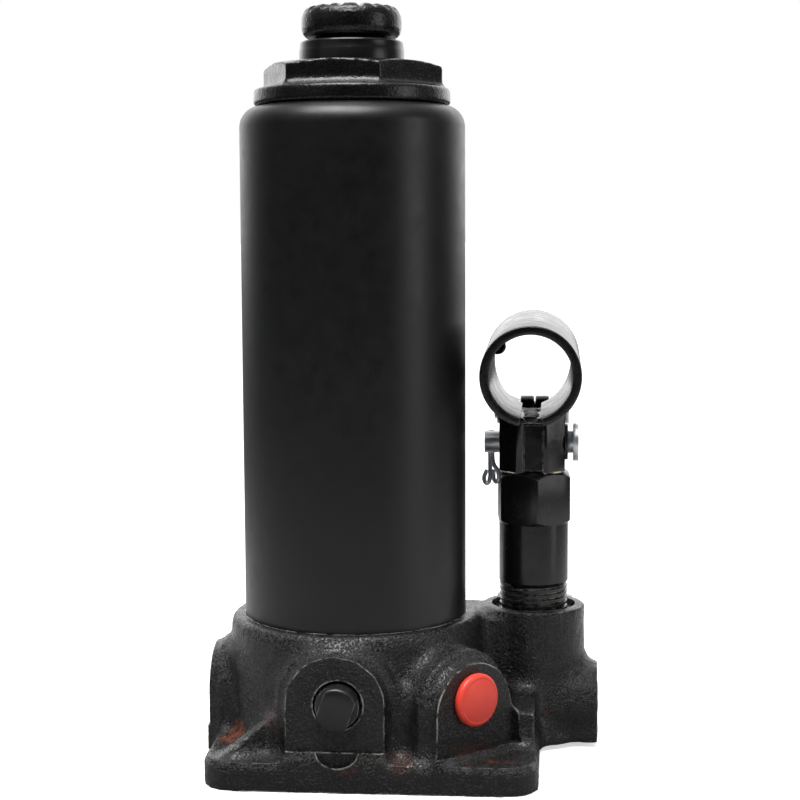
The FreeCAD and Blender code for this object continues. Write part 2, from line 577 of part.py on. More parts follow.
def link_pin_clip():
    start = PUMP_X - LINK_SPACE / 2 - EAR - 1.6
    ring = bar_x(LINK_PIN_HEAD_R, start, start + 1.2, LINK_PIN_Y, LINK_PIN_Z)
    return ring.cut(bar_x(PIN_R, start, start + 1.2, LINK_PIN_Y, LINK_PIN_Z))


def valve_ring(start, end, inner):
    return bar_y(VALVE_R, start, end, VALVE_X, VALVE_Z).cut(bar_y(inner, start, end, VALVE_X, VALVE_Z))


def release_screw():
    """Valve screw: its outer end has two flats, turned 20 degrees, for the notch of the handle."""
    flat_depth = 3.6
    cone_y = VALVE_BALL_Y - 3.4
    body = joined([bar_y(VALVE_R, VALVE_TIP_Y, VALVE_STEM_Y - FIT, VALVE_X, VALVE_Z),
                   bar_y(VALVE_STEM_R, VALVE_STEM_Y - 1, cone_y, VALVE_X, VALVE_Z),
                   Part.makeCone(VALVE_STEM_R, 1.0, 1.45, Vector(VALVE_X, cone_y, VALVE_Z),
                                 Vector(0, 1, 0))])
    body = body.cut(valve_ring(SEAL_Y - 1, SEAL_Y + 1, 3.6))
    for side in (-1, 1):
        near, far = sorted((VALVE_X + side * 3.2, VALVE_X + side * 7))
        flat = block((near, far), (VALVE_TIP_Y, VALVE_TIP_Y + flat_depth), (VALVE_Z - 7, VALVE_Z + 7))
        flat.rotate(Vector(VALVE_X, 0, VALVE_Z), Vector(0, 1, 0), 20)
        body = body.cut(flat)
    return body


def release_seal():
    """O-ring in the valve screw's groove: it slides in the bore with the screw and does not turn."""
    return valve_ring(SEAL_Y - 0.9, SEAL_Y + 0.9, 3.6 + FIT)


def release_ball():
    return Part.makeSphere(1.9, Vector(VALVE_X, VALVE_BALL_Y, VALVE_Z))


def safety_cap():
    face = -CORNER_PAD_REACH
    dome = Part.makeSphere(CAP_R * 1.6, Vector(0, face + CAP_R * 1.25 - 0.3, CORNER_PAD_AXIS_Z))
    head = bar_y(CAP_R, face - 3.0, face, 0, CORNER_PAD_AXIS_Z).common(dome)
    shank = bar_y(CORNER_BORE_R, face, face + 2.4, 0, CORNER_PAD_AXIS_Z)
    return corner_frame(head.fuse(shank).removeSplitter())


def safety_adjuster():
    face = -CORNER_PAD_REACH
    plug = bar_y(CORNER_BORE_R, face + 2.4, face + 6, 0, CORNER_PAD_AXIS_Z)
    slot = block((-0.6, 0.6), (face + 2.4, face + 3.6), (CORNER_PAD_AXIS_Z - 6, CORNER_PAD_AXIS_Z + 6))
    return corner_frame(plug.cut(slot))


def safety_spring():
    """Outer envelope of the overload valve's coil spring."""
    face = -CORNER_PAD_REACH
    coil = bar_y(2.8, face + 6, face + 14, 0, CORNER_PAD_AXIS_Z)
    return corner_frame(coil.cut(bar_y(1.8, face + 6, face + 14, 0, CORNER_PAD_AXIS_Z)))


def safety_ball():
    face = -CORNER_PAD_REACH
    return corner_frame(Part.makeSphere(2.6, Vector(0, face + 16.0, CORNER_PAD_AXIS_Z)))


def left_plug():
    plug = bar_y(PLUG_R, LEFT_PAD_X + 1.5, LEFT_PAD_X + 7.5, 0, LEFT_DRILL_Z)
    socket = bar_y(PLUG_SOCKET_R, LEFT_PAD_X + 1.5, LEFT_PAD_X + 4.0, 0, LEFT_DRILL_Z)
    return left_frame(plug.cut(socket))


def right_plug():
    outer = RIGHT_LUG_X - 1.5
    plug = bar_x(PLUG_R, outer - 6.0, outer, PUMP_Y - 2, LOW_DRILL_Z)
    return plug.cut(bar_x(PLUG_SOCKET_R, outer - 2.5, outer, PUMP_Y - 2, LOW_DRILL_Z))


def oil_strainer():
    cup = cylinder(STRAINER_R, TANK_FLOOR - 4, TANK_FLOOR + 3.0, 0, STRAINER_Y)
    return cup.cut(cylinder(STRAINER_R - 0.8, TANK_FLOOR - 4, TANK_FLOOR + 2.2, 0, STRAINER_Y))


def suction_ball():
    return Part.makeSphere(CHECK_BALL_R, Vector(PUMP_X, PUMP_Y, CHECK_SEAT + CHECK_BALL_R))


def discharge_ball():
    return Part.makeSphere(CHECK_BALL_R, Vector(DISCHARGE_X, 0, DISCHARGE_SEAT + CHECK_BALL_R))


def filler_plug():
    """Rubber plug with a flat head that follows the tank's side."""
    shank = bar_y(FILLER_R - FIT, TANK_R - TANK_WALL - 2.0, TANK_R + 2.6, 0, FILLER_Z)
    head = bar_y(7.6, TANK_R - 3.0, TANK_R + 2.6, 0, FILLER_Z)
    head = head.cut(cylinder(TANK_R + FIT, FILLER_Z - 12, FILLER_Z + 12))
    return shank.fuse(head).removeSplitter()


PIECES = {
    "base_casting": base_casting,
    "tank_gasket": tank_gasket,
    "tank_tube": tank_tube,
    "tank_seal": tank_seal,
    "cylinder_gasket": cylinder_gasket,
    "pressure_cylinder": pressure_cylinder,
    "top_nut": top_nut,
    "ram_seal": ram_seal,
    "ram_wiper": ram_wiper,
    "pump_gasket": pump_gasket,
    "pump_cylinder": pump_cylinder,
    "pump_gland": pump_gland,
    "left_plug": left_plug,
    "right_plug": right_plug,
    "oil_strainer": oil_strainer,
    "safety_ball": safety_ball,
    "safety_spring": safety_spring,
    "safety_adjuster": safety_adjuster,
    "safety_cap": safety_cap,
    "link_pin": link_pin,
    "link_pin_clip": link_pin_clip,
    "ram": ram,
    "ram_guide": ram_guide,
    "piston_cup": piston_cup,
    "cup_washer": cup_washer,
    "piston_nut": piston_nut,
    "screw_stop_washer": screw_stop_washer,
    "extension_screw": extension_screw,
    "screw_tail_clip": screw_tail_clip,
    "pump_plunger": pump_plunger,
    "plunger_seal": plunger_seal,
    "handle_socket": handle_socket,
    "socket_bracket": socket_bracket,
    "plunger_pin": plunger_pin,
    "pin_washer": pin_washer,
    "cotter_pin": cotter_pin,
    "fulcrum_pin": fulcrum_pin,
    "fulcrum_clip": fulcrum_clip,
    "link_plate_left": lambda: link_plate(-1),
    "link_plate_right": lambda: link_plate(1),
    "release_screw": release_screw,
    "release_seal": release_seal,
    "release_ball": release_ball,
    "suction_ball": suction_ball,
    "discharge_ball": discharge_ball,
    "filler_plug": filler_plug,
}

os.makedirs("parts", exist_ok=True)
for name, make in PIECES.items():
    shape = make()
    if shape.ShapeType != "Solid" and len(shape.Solids) == 1:
        shape = shape.Solids[0]
    print(name, shape.ShapeType, len(shape.Solids), round(shape.Volume, 1), shape.isValid())
    shape.exportStep(f"parts/{name}.step")
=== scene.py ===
import bmesh
import bpy
import json
import math
import random
from mathutils import Matrix, Vector

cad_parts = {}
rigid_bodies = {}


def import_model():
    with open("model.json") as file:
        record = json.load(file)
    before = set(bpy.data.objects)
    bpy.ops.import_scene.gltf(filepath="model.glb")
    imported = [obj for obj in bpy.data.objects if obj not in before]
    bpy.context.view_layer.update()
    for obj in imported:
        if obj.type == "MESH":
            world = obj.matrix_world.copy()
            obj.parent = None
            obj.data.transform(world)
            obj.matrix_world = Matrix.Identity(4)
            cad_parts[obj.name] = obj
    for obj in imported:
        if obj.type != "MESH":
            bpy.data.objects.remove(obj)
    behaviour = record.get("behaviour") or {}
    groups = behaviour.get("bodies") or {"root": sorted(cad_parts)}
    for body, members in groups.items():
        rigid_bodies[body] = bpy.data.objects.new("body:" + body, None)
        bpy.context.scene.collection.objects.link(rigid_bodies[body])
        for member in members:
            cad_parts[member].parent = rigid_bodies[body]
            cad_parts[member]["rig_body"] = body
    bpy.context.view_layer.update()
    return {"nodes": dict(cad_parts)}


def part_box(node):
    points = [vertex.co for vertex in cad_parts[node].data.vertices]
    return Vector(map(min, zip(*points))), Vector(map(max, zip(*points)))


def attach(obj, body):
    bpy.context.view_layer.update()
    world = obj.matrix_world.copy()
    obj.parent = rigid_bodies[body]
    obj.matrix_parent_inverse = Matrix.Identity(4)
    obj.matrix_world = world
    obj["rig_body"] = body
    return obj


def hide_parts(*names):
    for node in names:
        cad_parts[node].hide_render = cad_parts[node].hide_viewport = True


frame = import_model()
scene = bpy.context.scene
mm = 0.001
fullTurn = 2 * math.pi
random.seed(7)
print("frame loaded:", len(frame["nodes"]), "nodes")


def span(node):          # a node's corners, in millimetres like every size below
    low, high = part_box(node)
    return low / mm, high / mm


def middle(node):
    low, high = span(node)
    return (low + high) / 2


def lathe(outline, centre=(0, 0), steps=128):
    # outline is (radius, height); it closes on itself unless it starts and ends on the axis
    bm = bmesh.new()
    verts = [bm.verts.new((radius, 0, height)) for radius, height in outline]
    pairs = list(zip(verts, verts[1:]))
    if outline[0][0] > 0 or outline[-1][0] > 0:
        pairs.append((verts[-1], verts[0]))
    edges = [bm.edges.new(pair) for pair in pairs]
    bmesh.ops.spin(bm, geom=verts + edges, cent=(0, 0, 0), axis=(0, 0, 1), angle=fullTurn,
                   steps=steps, use_merge=True)
    bmesh.ops.remove_doubles(bm, verts=bm.verts, dist=1e-4)
    bmesh.ops.recalc_face_normals(bm, faces=bm.faces)
    bmesh.ops.translate(bm, verts=bm.verts, vec=(centre[0], centre[1], 0))
    return bm


def prism(points, along):
    bm = bmesh.new()
    face = bm.faces.new([bm.verts.new(point) for point in points])
    made = bmesh.ops.extrude_face_region(bm, geom=[face])
    bmesh.ops.translate(bm, vec=along, verts=[v for v in made["geom"] if isinstance(v, bmesh.types.BMVert)])
    bmesh.ops.recalc_face_normals(bm, faces=bm.faces)
    return bm


def slab(low, high):
    bm = bmesh.new()
    bmesh.ops.create_cube(bm, size=1)
    low, high = Vector(low), Vector(high)
    bmesh.ops.transform(bm, verts=bm.verts, matrix=Matrix.Translation((low + high) / 2)
                        @ Matrix.Diagonal((high - low).to_4d()))
    return bm


def rod(start, end, radius, endRadius=None, segments=64):
    start, end = Vector(start), Vector(end)
    bm = bmesh.new()
    bmesh.ops.create_cone(bm, cap_ends=True, segments=segments, radius1=radius, depth=(end - start).length,
                          radius2=radius if endRadius is None else endRadius)
    turn = (end - start).to_track_quat("Z", "Y").to_matrix().to_4x4()
    bmesh.ops.transform(bm, verts=bm.verts, matrix=Matrix.Translation((start + end) / 2) @ turn)
    return bm


def ball(centre, radius, stretch=(1, 1, 1)):
    bm = bmesh.new()
    bmesh.ops.create_uvsphere(bm, u_segments=32, v_segments=20, radius=radius)
    bmesh.ops.transform(bm, verts=bm.verts, matrix=Matrix.Translation(centre)
                        @ Matrix.Diagonal(Vector(stretch).to_4d()))
    return bm


def together(*shapes):
    bm = shapes[0]
    for other in shapes[1:]:
        spare = bpy.data.meshes.new("spare")
        other.to_mesh(spare)
        other.free()
        bm.from_mesh(spare)
        bpy.data.meshes.remove(spare)
    return bm


def turned(bm, degrees, axis, about=(0, 0, 0)):
    bmesh.ops.rotate(bm, verts=bm.verts, cent=about, matrix=Matrix.Rotation(math.radians(degrees), 3, axis))
    return bm


def roundEdges(bm, width, segments=3, sharper=30, only=lambda edge: True):
    sharp = [e for e in bm.edges if len(e.link_faces) == 2
             and e.calc_face_angle(0) > math.radians(sharper) and only(e)]
    bmesh.ops.bevel(bm, geom=sharp, offset=width, offset_type="OFFSET", segments=segments, profile=0.5,
                    affect="EDGES", material=-1, clamp_overlap=True)
    return bm


def arc(centreR, centreZ, radius, fromDeg, toDeg, steps):
    turns = [math.radians(fromDeg + (toDeg - fromDeg) * i / steps) for i in range(steps + 1)]
    return [(centreR + radius * math.cos(t), centreZ + radius * math.sin(t)) for t in turns]


def thread(crest, depth, pitch, bottom, top, centre=(0, 0), stepsPerTurn=40, crestShare=0.14):
    # one closed ridge wound up a core; it stands in the core by a little, so that the two join
    bm = bmesh.new()
    root = crest - depth - 0.15
    half, flat = pitch * 0.47, pitch * crestShare
    outline = [(root, -half), (crest, -flat), (crest, flat), (root, half)]
    verts = [bm.verts.new((radius, 0, bottom + pitch / 2 + height)) for radius, height in outline]
    face = bm.faces.new(verts)
    turns = (top - bottom - pitch) / pitch
    steps = int(turns * stepsPerTurn)
    bmesh.ops.spin(bm, geom=[face], cent=(0, 0, 0), axis=(0, 0, 1), angle=fullTurn * turns,
                   steps=steps, dvec=(0, 0, pitch * turns / steps))
    bmesh.ops.remove_doubles(bm, verts=bm.verts, dist=1e-4)
    bmesh.ops.recalc_face_normals(bm, faces=bm.faces)
    bmesh.ops.translate(bm, verts=bm.verts, vec=(centre[0], centre[1], 0))
    return bm


def bare(name, bm):
    # an object with its place in its mesh, in metres
    bmesh.ops.scale(bm, vec=(mm, mm, mm), verts=bm.verts)
    mesh = bpy.data.meshes.new(name)
    bm.to_mesh(mesh)
    bm.free()
    obj = bpy.data.objects.new(name, mesh)
    scene.collection.objects.link(obj)
    return obj


def opened(mesh):
    # a mesh's shape, back in millimetres
    shape = bmesh.new()
    shape.from_mesh(mesh)
    bmesh.ops.scale(shape, vec=(1 / mm, 1 / mm, 1 / mm), verts=shape.verts)
    return shape


def takenBack(obj):
    # the object's shape, to be joined with others; the object goes
    shape = opened(obj.data)
    bpy.data.objects.remove(obj)
    return shape


def baked(obj):
    # the mesh that the object has with its modifiers on
    graph = bpy.context.evaluated_depsgraph_get()
    graph.update()
    return bpy.data.meshes.new_from_object(obj.evaluated_get(graph), depsgraph=graph)


def settle(obj):
    # turns the live modifiers into plain mesh
    made = baked(obj)
    obj.modifiers.clear()
    old, obj.data = obj.data, made
    bpy.data.meshes.remove(old)
    return obj


def carve(obj, *cutters, operation="DIFFERENCE"):
    tools = [bare("cutter", cutter) for cutter in cutters]
    for tool in tools:
        cut = obj.modifiers.new("cut", "BOOLEAN")
        cut.object, cut.operation, cut.solver = tool, operation, "EXACT"
        settle(obj)
    for tool in tools:
        mesh = tool.data
        bpy.data.objects.remove(tool)
        bpy.data.meshes.remove(mesh)
    return obj


def foundry(obj, grain, fillet, smooth, lump, lumpSize):
    # melts overlapping shapes into one skin with filleted roots, then gives it a cast surface
    def remesh():
        melt = obj.modifiers.new("melt", "REMESH")
        melt.mode, melt.voxel_size = "VOXEL", grain * mm
    crisp = bmesh.new()
    crisp.from_mesh(obj.data)
    remesh()
    for side in (1, -1):
        push = obj.modifiers.new("push", "DISPLACE")
        push.strength, push.mid_level = side * fillet * mm, 0
        remesh()
    settle(obj)
    crisp.from_mesh(obj.data)      # the first shapes go back in, for their outer edges
    crisp.to_mesh(obj.data)
    crisp.free()
    remesh()
    ease = obj.modifiers.new("ease", "SMOOTH")
    ease.factor, ease.iterations = 0.5, smooth
    clouds = bpy.data.textures.new(obj.name + "Lumps", "CLOUDS")
    clouds.noise_scale, clouds.noise_depth = lumpSize * mm, 2
    bumps = obj.modifiers.new("bumps", "DISPLACE")
    bumps.texture, bumps.strength, bumps.mid_level = clouds, lump * mm, 0.5
    return settle(obj)


def finished(obj, body, material, stands=(), angle=35):
    # edges sharper than the angle stay crisp; "stands" names the CAD nodes that the piece stands in for
    mesh = obj.data
    mesh.shade_smooth()
    mesh.set_sharp_from_angle(angle=math.radians(angle))
    mesh.materials.clear()
    mesh.materials.append(material)
    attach(obj, body)
    if stands:
        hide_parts(*stands)
    return obj


def twoTone(obj, material, belongs):
    # gives a second finish to the faces whose height passes the test
    obj.data.materials.append(material)
    for face in obj.data.polygons:
        if belongs(face.center.z / mm):
            face.material_index = 1
    return obj


def nodeShape(node):
    # a CAD node's own shape, merged and in millimetres
    bm = opened(frame["nodes"][node].data)
    bmesh.ops.remove_doubles(bm, verts=bm.verts, dist=1e-3)
    bmesh.ops.dissolve_limit(bm, angle_limit=math.radians(1), verts=bm.verts, edges=bm.edges)
    return bm


def softened(node, width, material):
    # a CAD node's own shape with its edges broken
    bm = roundEdges(nodeShape(node), width, segments=2, sharper=25)
    bmesh.ops.recalc_face_normals(bm, faces=bm.faces)
    return finished(bare(node + "Shape", bm), frame["nodes"][node]["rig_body"], material, (node,))


# camera, light and floor

view = {"place": (0.05146, -0.4516, 0.1388), "yaw": 5.0, "pitch": 5.76, "roll": -0.0051, "lens": 78.646}
camera = bpy.data.objects.new("camera", bpy.data.cameras.new("camera"))
camera.data.lens = view["lens"]
camera.data.sensor_width = 36
camera.data.clip_start, camera.data.clip_end = 0.01, 100
camera.matrix_world = (Matrix.Translation(view["place"]) @ Matrix.Rotation(math.radians(view["yaw"]), 4, "Z")
                       @ Matrix.Rotation(math.pi / 2 - math.radians(view["pitch"]), 4, "X")
                       @ Matrix.Rotation(view["roll"], 4, "Z"))
scene.collection.objects.link(camera)
scene.camera = camera
scene.view_settings.view_transform = "Standard"
scene.view_settings.look = "None"


def softbox(name, place, aim, size, power):
    light = bpy.data.lights.new(name, "AREA")
    light.shape, light.size, light.size_y, light.energy = "RECTANGLE", size[0], size[1], power
    obj = bpy.data.objects.new(name, light)
    direction = Vector(aim) - Vector(place)
    obj.matrix_world = Matrix.Translation(place) @ direction.to_track_quat("-Z", "Y").to_matrix().to_4x4()
    scene.collection.objects.link(obj)


lights = {                # place, aim, size and power
    "overhead": ((-0.10, -0.30, 0.95), (0, 0, 0.05), (0.7, 0.5), 12.0),
    "rightBox": ((0.90, -0.31, 0.20), (0, 0, 0.10), (0.36, 0.75), 1.55),
    "leftFill": ((-0.75, -0.70, 0.75), (0, 0, 0.06), (0.9, 0.9), 0.5),
}
for lightName, (place, aim, size, power) in lights.items():
    softbox(lightName, place, aim, size, power)


def step(tree, kind, into=None, **values):
    # one node; "into" sets or links its inputs by name or number
    made = tree.nodes.new("ShaderNode" + kind)
    for key, value in values.items():
        setattr(made, key, value)
    for key, value in (into or {}).items():
        if isinstance(value, bpy.types.NodeSocket):
            tree.links.new(value, made.inputs[key])
        else:
            made.inputs[key].default_value = value
    return made


def ramp(tree, source, stops):
    # greys at places from 0 to 1
    made = step(tree, "ValToRGB", {"Fac": source})
    while len(made.color_ramp.elements) < len(stops):
        made.color_ramp.elements.new(0.5)
    for element, (place, level) in zip(made.color_ramp.elements, stops):
        element.position = place
        element.color = (level, level, level, 1)
    return made.outputs["Color"]


def fit(tree, source, low, high, toLow=0.0, toHigh=1.0):
    return step(tree, "MapRange", {"Value": source, "From Min": low, "From Max": high, "To Min": toLow,
                                   "To Max": toHigh}).outputs["Result"]


def calc(tree, operation, first, second, clamp=False):
    return step(tree, "Math", {0: first, 1: second}, operation=operation, use_clamp=clamp).outputs["Value"]


def blendColor(tree, share, first, second):
    made = tree.nodes.new("ShaderNodeMix")
    made.data_type = "RGBA"
    for key, value in ((0, share), (6, first), (7, second)):
        if isinstance(value, bpy.types.NodeSocket):
            tree.links.new(value, made.inputs[key])
        else:
            made.inputs[key].default_value = (*value, 1) if isinstance(value, tuple) else value
    return made.outputs[2]


# a white room, dim on the camera's side and in a gap at the right; each wall runs from front to back
room = {
    "left": [(0.0, 0.025), (0.25, 0.04), (0.5, 0.10), (0.68, 0.34), (0.79, 1.2), (0.9, 2.2), (0.98, 1.7)],
    "right": [(0.0, 0.025), (0.25, 0.04), (0.5, 0.11), (0.73, 0.12), (0.86, 1.3), (0.93, 2.4), (0.98, 1.7)],
    "middleBlend": 0.1, "ceiling": 0.7, "ceilingEdge": (0.58, 0.92),
}
world = bpy.data.worlds.new("studio")
scene.world = world
world.use_nodes = True
sky = world.node_tree
sky.nodes.clear()
compass = step(sky, "SeparateXYZ", {0: step(sky, "TexCoord").outputs["Generated"]})
depth = fit(sky, compass.outputs["Y"], -1, 1)
across = fit(sky, compass.outputs["X"], -room["middleBlend"], room["middleBlend"])
walls = blendColor(sky, across, ramp(sky, depth, room["left"]), ramp(sky, depth, room["right"]))
overhead = fit(sky, compass.outputs["Z"], *room["ceilingEdge"])
roomLight = blendColor(sky, overhead, walls, (room["ceiling"],) * 3)
isCamera = step(sky, "LightPath").outputs["Is Camera Ray"]
roomLight = blendColor(sky, isCamera, roomLight, (1.0, 1.0, 1.0))
glow = step(sky, "Background", {"Color": roomLight, "Strength": 1.0})
sky.links.new(glow.outputs[0], step(sky, "OutputWorld").inputs[0])
print("camera and light ready")


# shader groups: each puts out masks and heights only

def groupStart(name, inputs, outputs):
    tree = bpy.data.node_groups.new(name, "ShaderNodeTree")
    for label, value in inputs:
        socket = tree.interface.new_socket(name=label, in_out="INPUT", socket_type="NodeSocketFloat")
        socket.default_value = value
    for label in outputs:
        tree.interface.new_socket(name=label, in_out="OUTPUT", socket_type="NodeSocketFloat")
    return tree, tree.nodes.new("NodeGroupInput").outputs, tree.nodes.new("NodeGroupOutput").inputs


def noise(tree, scale, detail, rough, coord=None):
    coord = coord or step(tree, "TexCoord").outputs["Object"]
    return step(tree, "TexNoise", {"Vector": coord, "Scale": scale, "Detail": detail,
                                   "Roughness": rough}).outputs["Fac"]


def makeEdgeWear():
    # worn outer edges: light that fails to spread inside the metal marks a thin or sharp place
    inputs = [("Width", 0.0008), ("Amount", 0.6), ("Patch", 180.0)]
    tree, given, out = groupStart("edgeWear", inputs, ["Mask"])
    inside = step(tree, "AmbientOcclusion", {"Distance": given["Width"]}, samples=8, inside=True)
    edge = fit(tree, inside.outputs["AO"], 0.88, 0.55)
    patches = fit(tree, noise(tree, given["Patch"], 4.0, 0.7), 0.42, 0.56)
    tree.links.new(calc(tree, "MULTIPLY", calc(tree, "MULTIPLY", edge, patches), given["Amount"], True),
                   out["Mask"])
    return tree


def makeCastGrain():
    # the skin that a sand mould leaves: grains in clumps, with a few larger lumps
    tree, given, out = groupStart("castGrain", [("Grain", 900.0), ("Lump", 160.0)], ["Height", "Pits"])
    coord = step(tree, "TexCoord").outputs["Object"]
    fine = noise(tree, given["Grain"], 3.0, 0.6, coord)
    cells = step(tree, "TexVoronoi", {"Vector": coord, "Scale": given["Grain"]}, feature="SMOOTH_F1")
    lumps = noise(tree, given["Lump"], 3.0, 0.55, coord)
    grains = calc(tree, "MULTIPLY", fit(tree, cells.outputs["Distance"], 0.0, 0.8, 1.0, 0.0), 0.4)
    peaks = fit(tree, fine, 0.46, 0.76)
    mixed = calc(tree, "ADD", calc(tree, "ADD", peaks, grains), calc(tree, "MULTIPLY", lumps, 0.9))
    tree.links.new(mixed, out["Height"])
    tree.links.new(fit(tree, fine, 0.46, 0.36), out["Pits"])
    return tree


def makeEnamelPeel():
    # brushed or sprayed enamel: a shallow ripple and a few specks
    tree, given, out = groupStart("enamelPeel", [("Ripple", 260.0), ("Specks", 500.0)], ["Height", "Speck"])
    coord = step(tree, "TexCoord").outputs["Object"]
    ripple = noise(tree, given["Ripple"], 2.0, 0.5, coord)
    dots = step(tree, "TexVoronoi", {"Vector": coord, "Scale": given["Specks"]}, feature="F1")
    rare = fit(tree, noise(tree, 60.0, 2.0, 0.5, coord), 0.60, 0.70)
    speck = calc(tree, "MULTIPLY", fit(tree, dots.outputs["Distance"], 0.22, 0.10), rare)
    tree.links.new(calc(tree, "ADD", ripple, speck), out["Height"])
    tree.links.new(speck, out["Speck"])
    return tree


def makeDust():
    # dust and handling marks: thicker on what faces up
    tree, given, out = groupStart("dust", [("Amount", 0.3), ("Scale", 220.0)], ["Mask"])
    facing = step(tree, "SeparateXYZ", {0: step(tree, "NewGeometry").outputs["Normal"]})
    up = fit(tree, facing.outputs["Z"], 0.2, 1.0)
    clouds = fit(tree, noise(tree, given["Scale"], 5.0, 0.7), 0.42, 0.70)
    smears = fit(tree, noise(tree, 35.0, 3.0, 0.6), 0.45, 0.75)
    spread = calc(tree, "ADD", calc(tree, "MULTIPLY", up, clouds), calc(tree, "MULTIPLY", smears, 0.25))
    tree.links.new(calc(tree, "MULTIPLY", spread, given["Amount"], True), out["Mask"])
    return tree


def makeLathed():
    # fine rings left by turning or grinding along one axis of the object
    inputs = [("Along X", 0.0), ("Along Y", 0.0), ("Along Z", 1.0), ("Lines", 2500.0)]
    tree, given, out = groupStart("lathed", inputs, ["Height"])
    coord = step(tree, "SeparateXYZ", {0: step(tree, "TexCoord").outputs["Object"]}).outputs
    alongX, alongY, alongZ = [calc(tree, "MULTIPLY", coord[axis], given["Along " + axis]) for axis in "XYZ"]
    place = calc(tree, "ADD", calc(tree, "ADD", alongX, alongY), alongZ)
    lines = step(tree, "TexNoise", {"W": place, "Scale": given["Lines"], "Detail": 3.0},
                 noise_dimensions="1D").outputs["Fac"]
    tree.links.new(lines, out["Height"])
    return tree


groups = {"edgeWear": makeEdgeWear(), "castGrain": makeCastGrain(), "enamelPeel": makeEnamelPeel(),
          "dust": makeDust(), "lathed": makeLathed()}


def group(tree, name, **values):
    made = tree.nodes.new("ShaderNodeGroup")
    made.node_tree = groups[name]
    for key, value in values.items():
        made.inputs[key.replace("_", " ")].default_value = value
    return made.outputs


def surface(name, look):
    # every finish is the same layers in other strengths: skin, colour drift, rust, dust and worn edges
    material = bpy.data.materials.new(name)
    material.use_nodes = True
    tree = material.node_tree
    tree.nodes.clear()
    drift = fit(tree, noise(tree, look.get("driftScale", 70.0), 4.0, 0.6), 0.35, 0.65)
    color = blendColor(tree, drift, look["color"], look.get("colorTwo", look["color"]))
    rough = fit(tree, noise(tree, 240.0, 4.0, 0.6), 0.3, 0.7, *look["rough"])
    metal = 1.0 if look.get("metal") else 0.0
    heights = []
    if "cast" in look:
        grain, lump, deep = look["cast"]
        cast = group(tree, "castGrain", Grain=grain, Lump=lump)
        heights.append((cast["Height"], deep))
        rough = calc(tree, "ADD", rough, calc(tree, "MULTIPLY", cast["Pits"], 0.12))
    if "peel" in look:
        ripple, specks, deep = look["peel"]
        peel = group(tree, "enamelPeel", Ripple=ripple, Specks=specks)
        heights.append((peel["Height"], deep))
    if "lathed" in look:
        axis, lines, deep = look["lathed"]
        rings = group(tree, "lathed", Along_X=float(axis == "X"), Along_Y=float(axis == "Y"),
                      Along_Z=float(axis == "Z"), Lines=lines)
        heights.append((rings["Height"], deep))
        rough = calc(tree, "ADD", rough, fit(tree, rings["Height"], 0.3, 0.7, -0.05, 0.05))
    if "rust" in look:
        # rust creeps up from the foot, and sits in ragged spots at the places given
        strength, reach = look["rust"]
        coord = step(tree, "TexCoord").outputs["Object"]
        height = step(tree, "SeparateXYZ", {0: coord}).outputs["Z"]
        low = fit(tree, height, reach, reach * 0.5)
        spots = fit(tree, noise(tree, 42.0, 5.0, 0.65), 0.60, 0.68)
        rust = calc(tree, "MULTIPLY", calc(tree, "MULTIPLY", low, spots), strength)
        ragged = fit(tree, noise(tree, 520.0, 4.0, 0.7), 0.40, 0.58)
        for place, radius, amount in look["rustAt"]:
            away = step(tree, "VectorMath", {0: coord, 1: Vector(place) * mm}, operation="DISTANCE")
            near = calc(tree, "MULTIPLY", fit(tree, away.outputs["Value"], radius * mm, 0.0), ragged)
            rust = calc(tree, "MAXIMUM", rust, fit(tree, near, 0.05, 0.55, 0.0, amount))
        color = blendColor(tree, rust, color, (0.17, 0.036, 0.012))
        rough = calc(tree, "MAXIMUM", rough, calc(tree, "MULTIPLY", rust, 0.7))
    if "dust" in look:
        dust = group(tree, "dust", Amount=look["dust"])["Mask"]
        color = blendColor(tree, dust, color, (0.10, 0.095, 0.085))
        rough = calc(tree, "ADD", rough, calc(tree, "MULTIPLY", dust, 0.35))
    if "wear" in look:
        width, amount, patch = look["wear"]
        worn = group(tree, "edgeWear", Width=width * mm, Amount=amount, Patch=patch)["Mask"]
        color = blendColor(tree, worn, color, look.get("bare", (0.30, 0.29, 0.28)))
        metal = calc(tree, "MULTIPLY", worn, 0.4) if not look.get("metal") else metal
        rough = calc(tree, "ADD", calc(tree, "MULTIPLY", rough, calc(tree, "SUBTRACT", 1.0, worn)),
                     calc(tree, "MULTIPLY", worn, 0.38))
    shader = step(tree, "BsdfPrincipled", {"Base Color": color, "Roughness": rough, "Metallic": metal,
                                           "IOR": 1.5})
    shader.inputs["Specular IOR Level"].default_value = look.get("shine", 0.5)
    if "subsurface" in look:
        shader.inputs["Subsurface Weight"].default_value = look["subsurface"]
        shader.inputs["Subsurface Radius"].default_value = (0.002, 0.0006, 0.0004)
    normal = None
    for height, deep in heights:
        bump = step(tree, "Bump", {"Height": height, "Strength": 1.0, "Distance": deep * mm})
        if normal:
            tree.links.new(normal, bump.inputs["Normal"])
        normal = bump.outputs["Normal"]
    if normal:
        tree.links.new(normal, shader.inputs["Normal"])
    tree.links.new(shader.outputs[0], step(tree, "OutputMaterial").inputs[0])
    return material


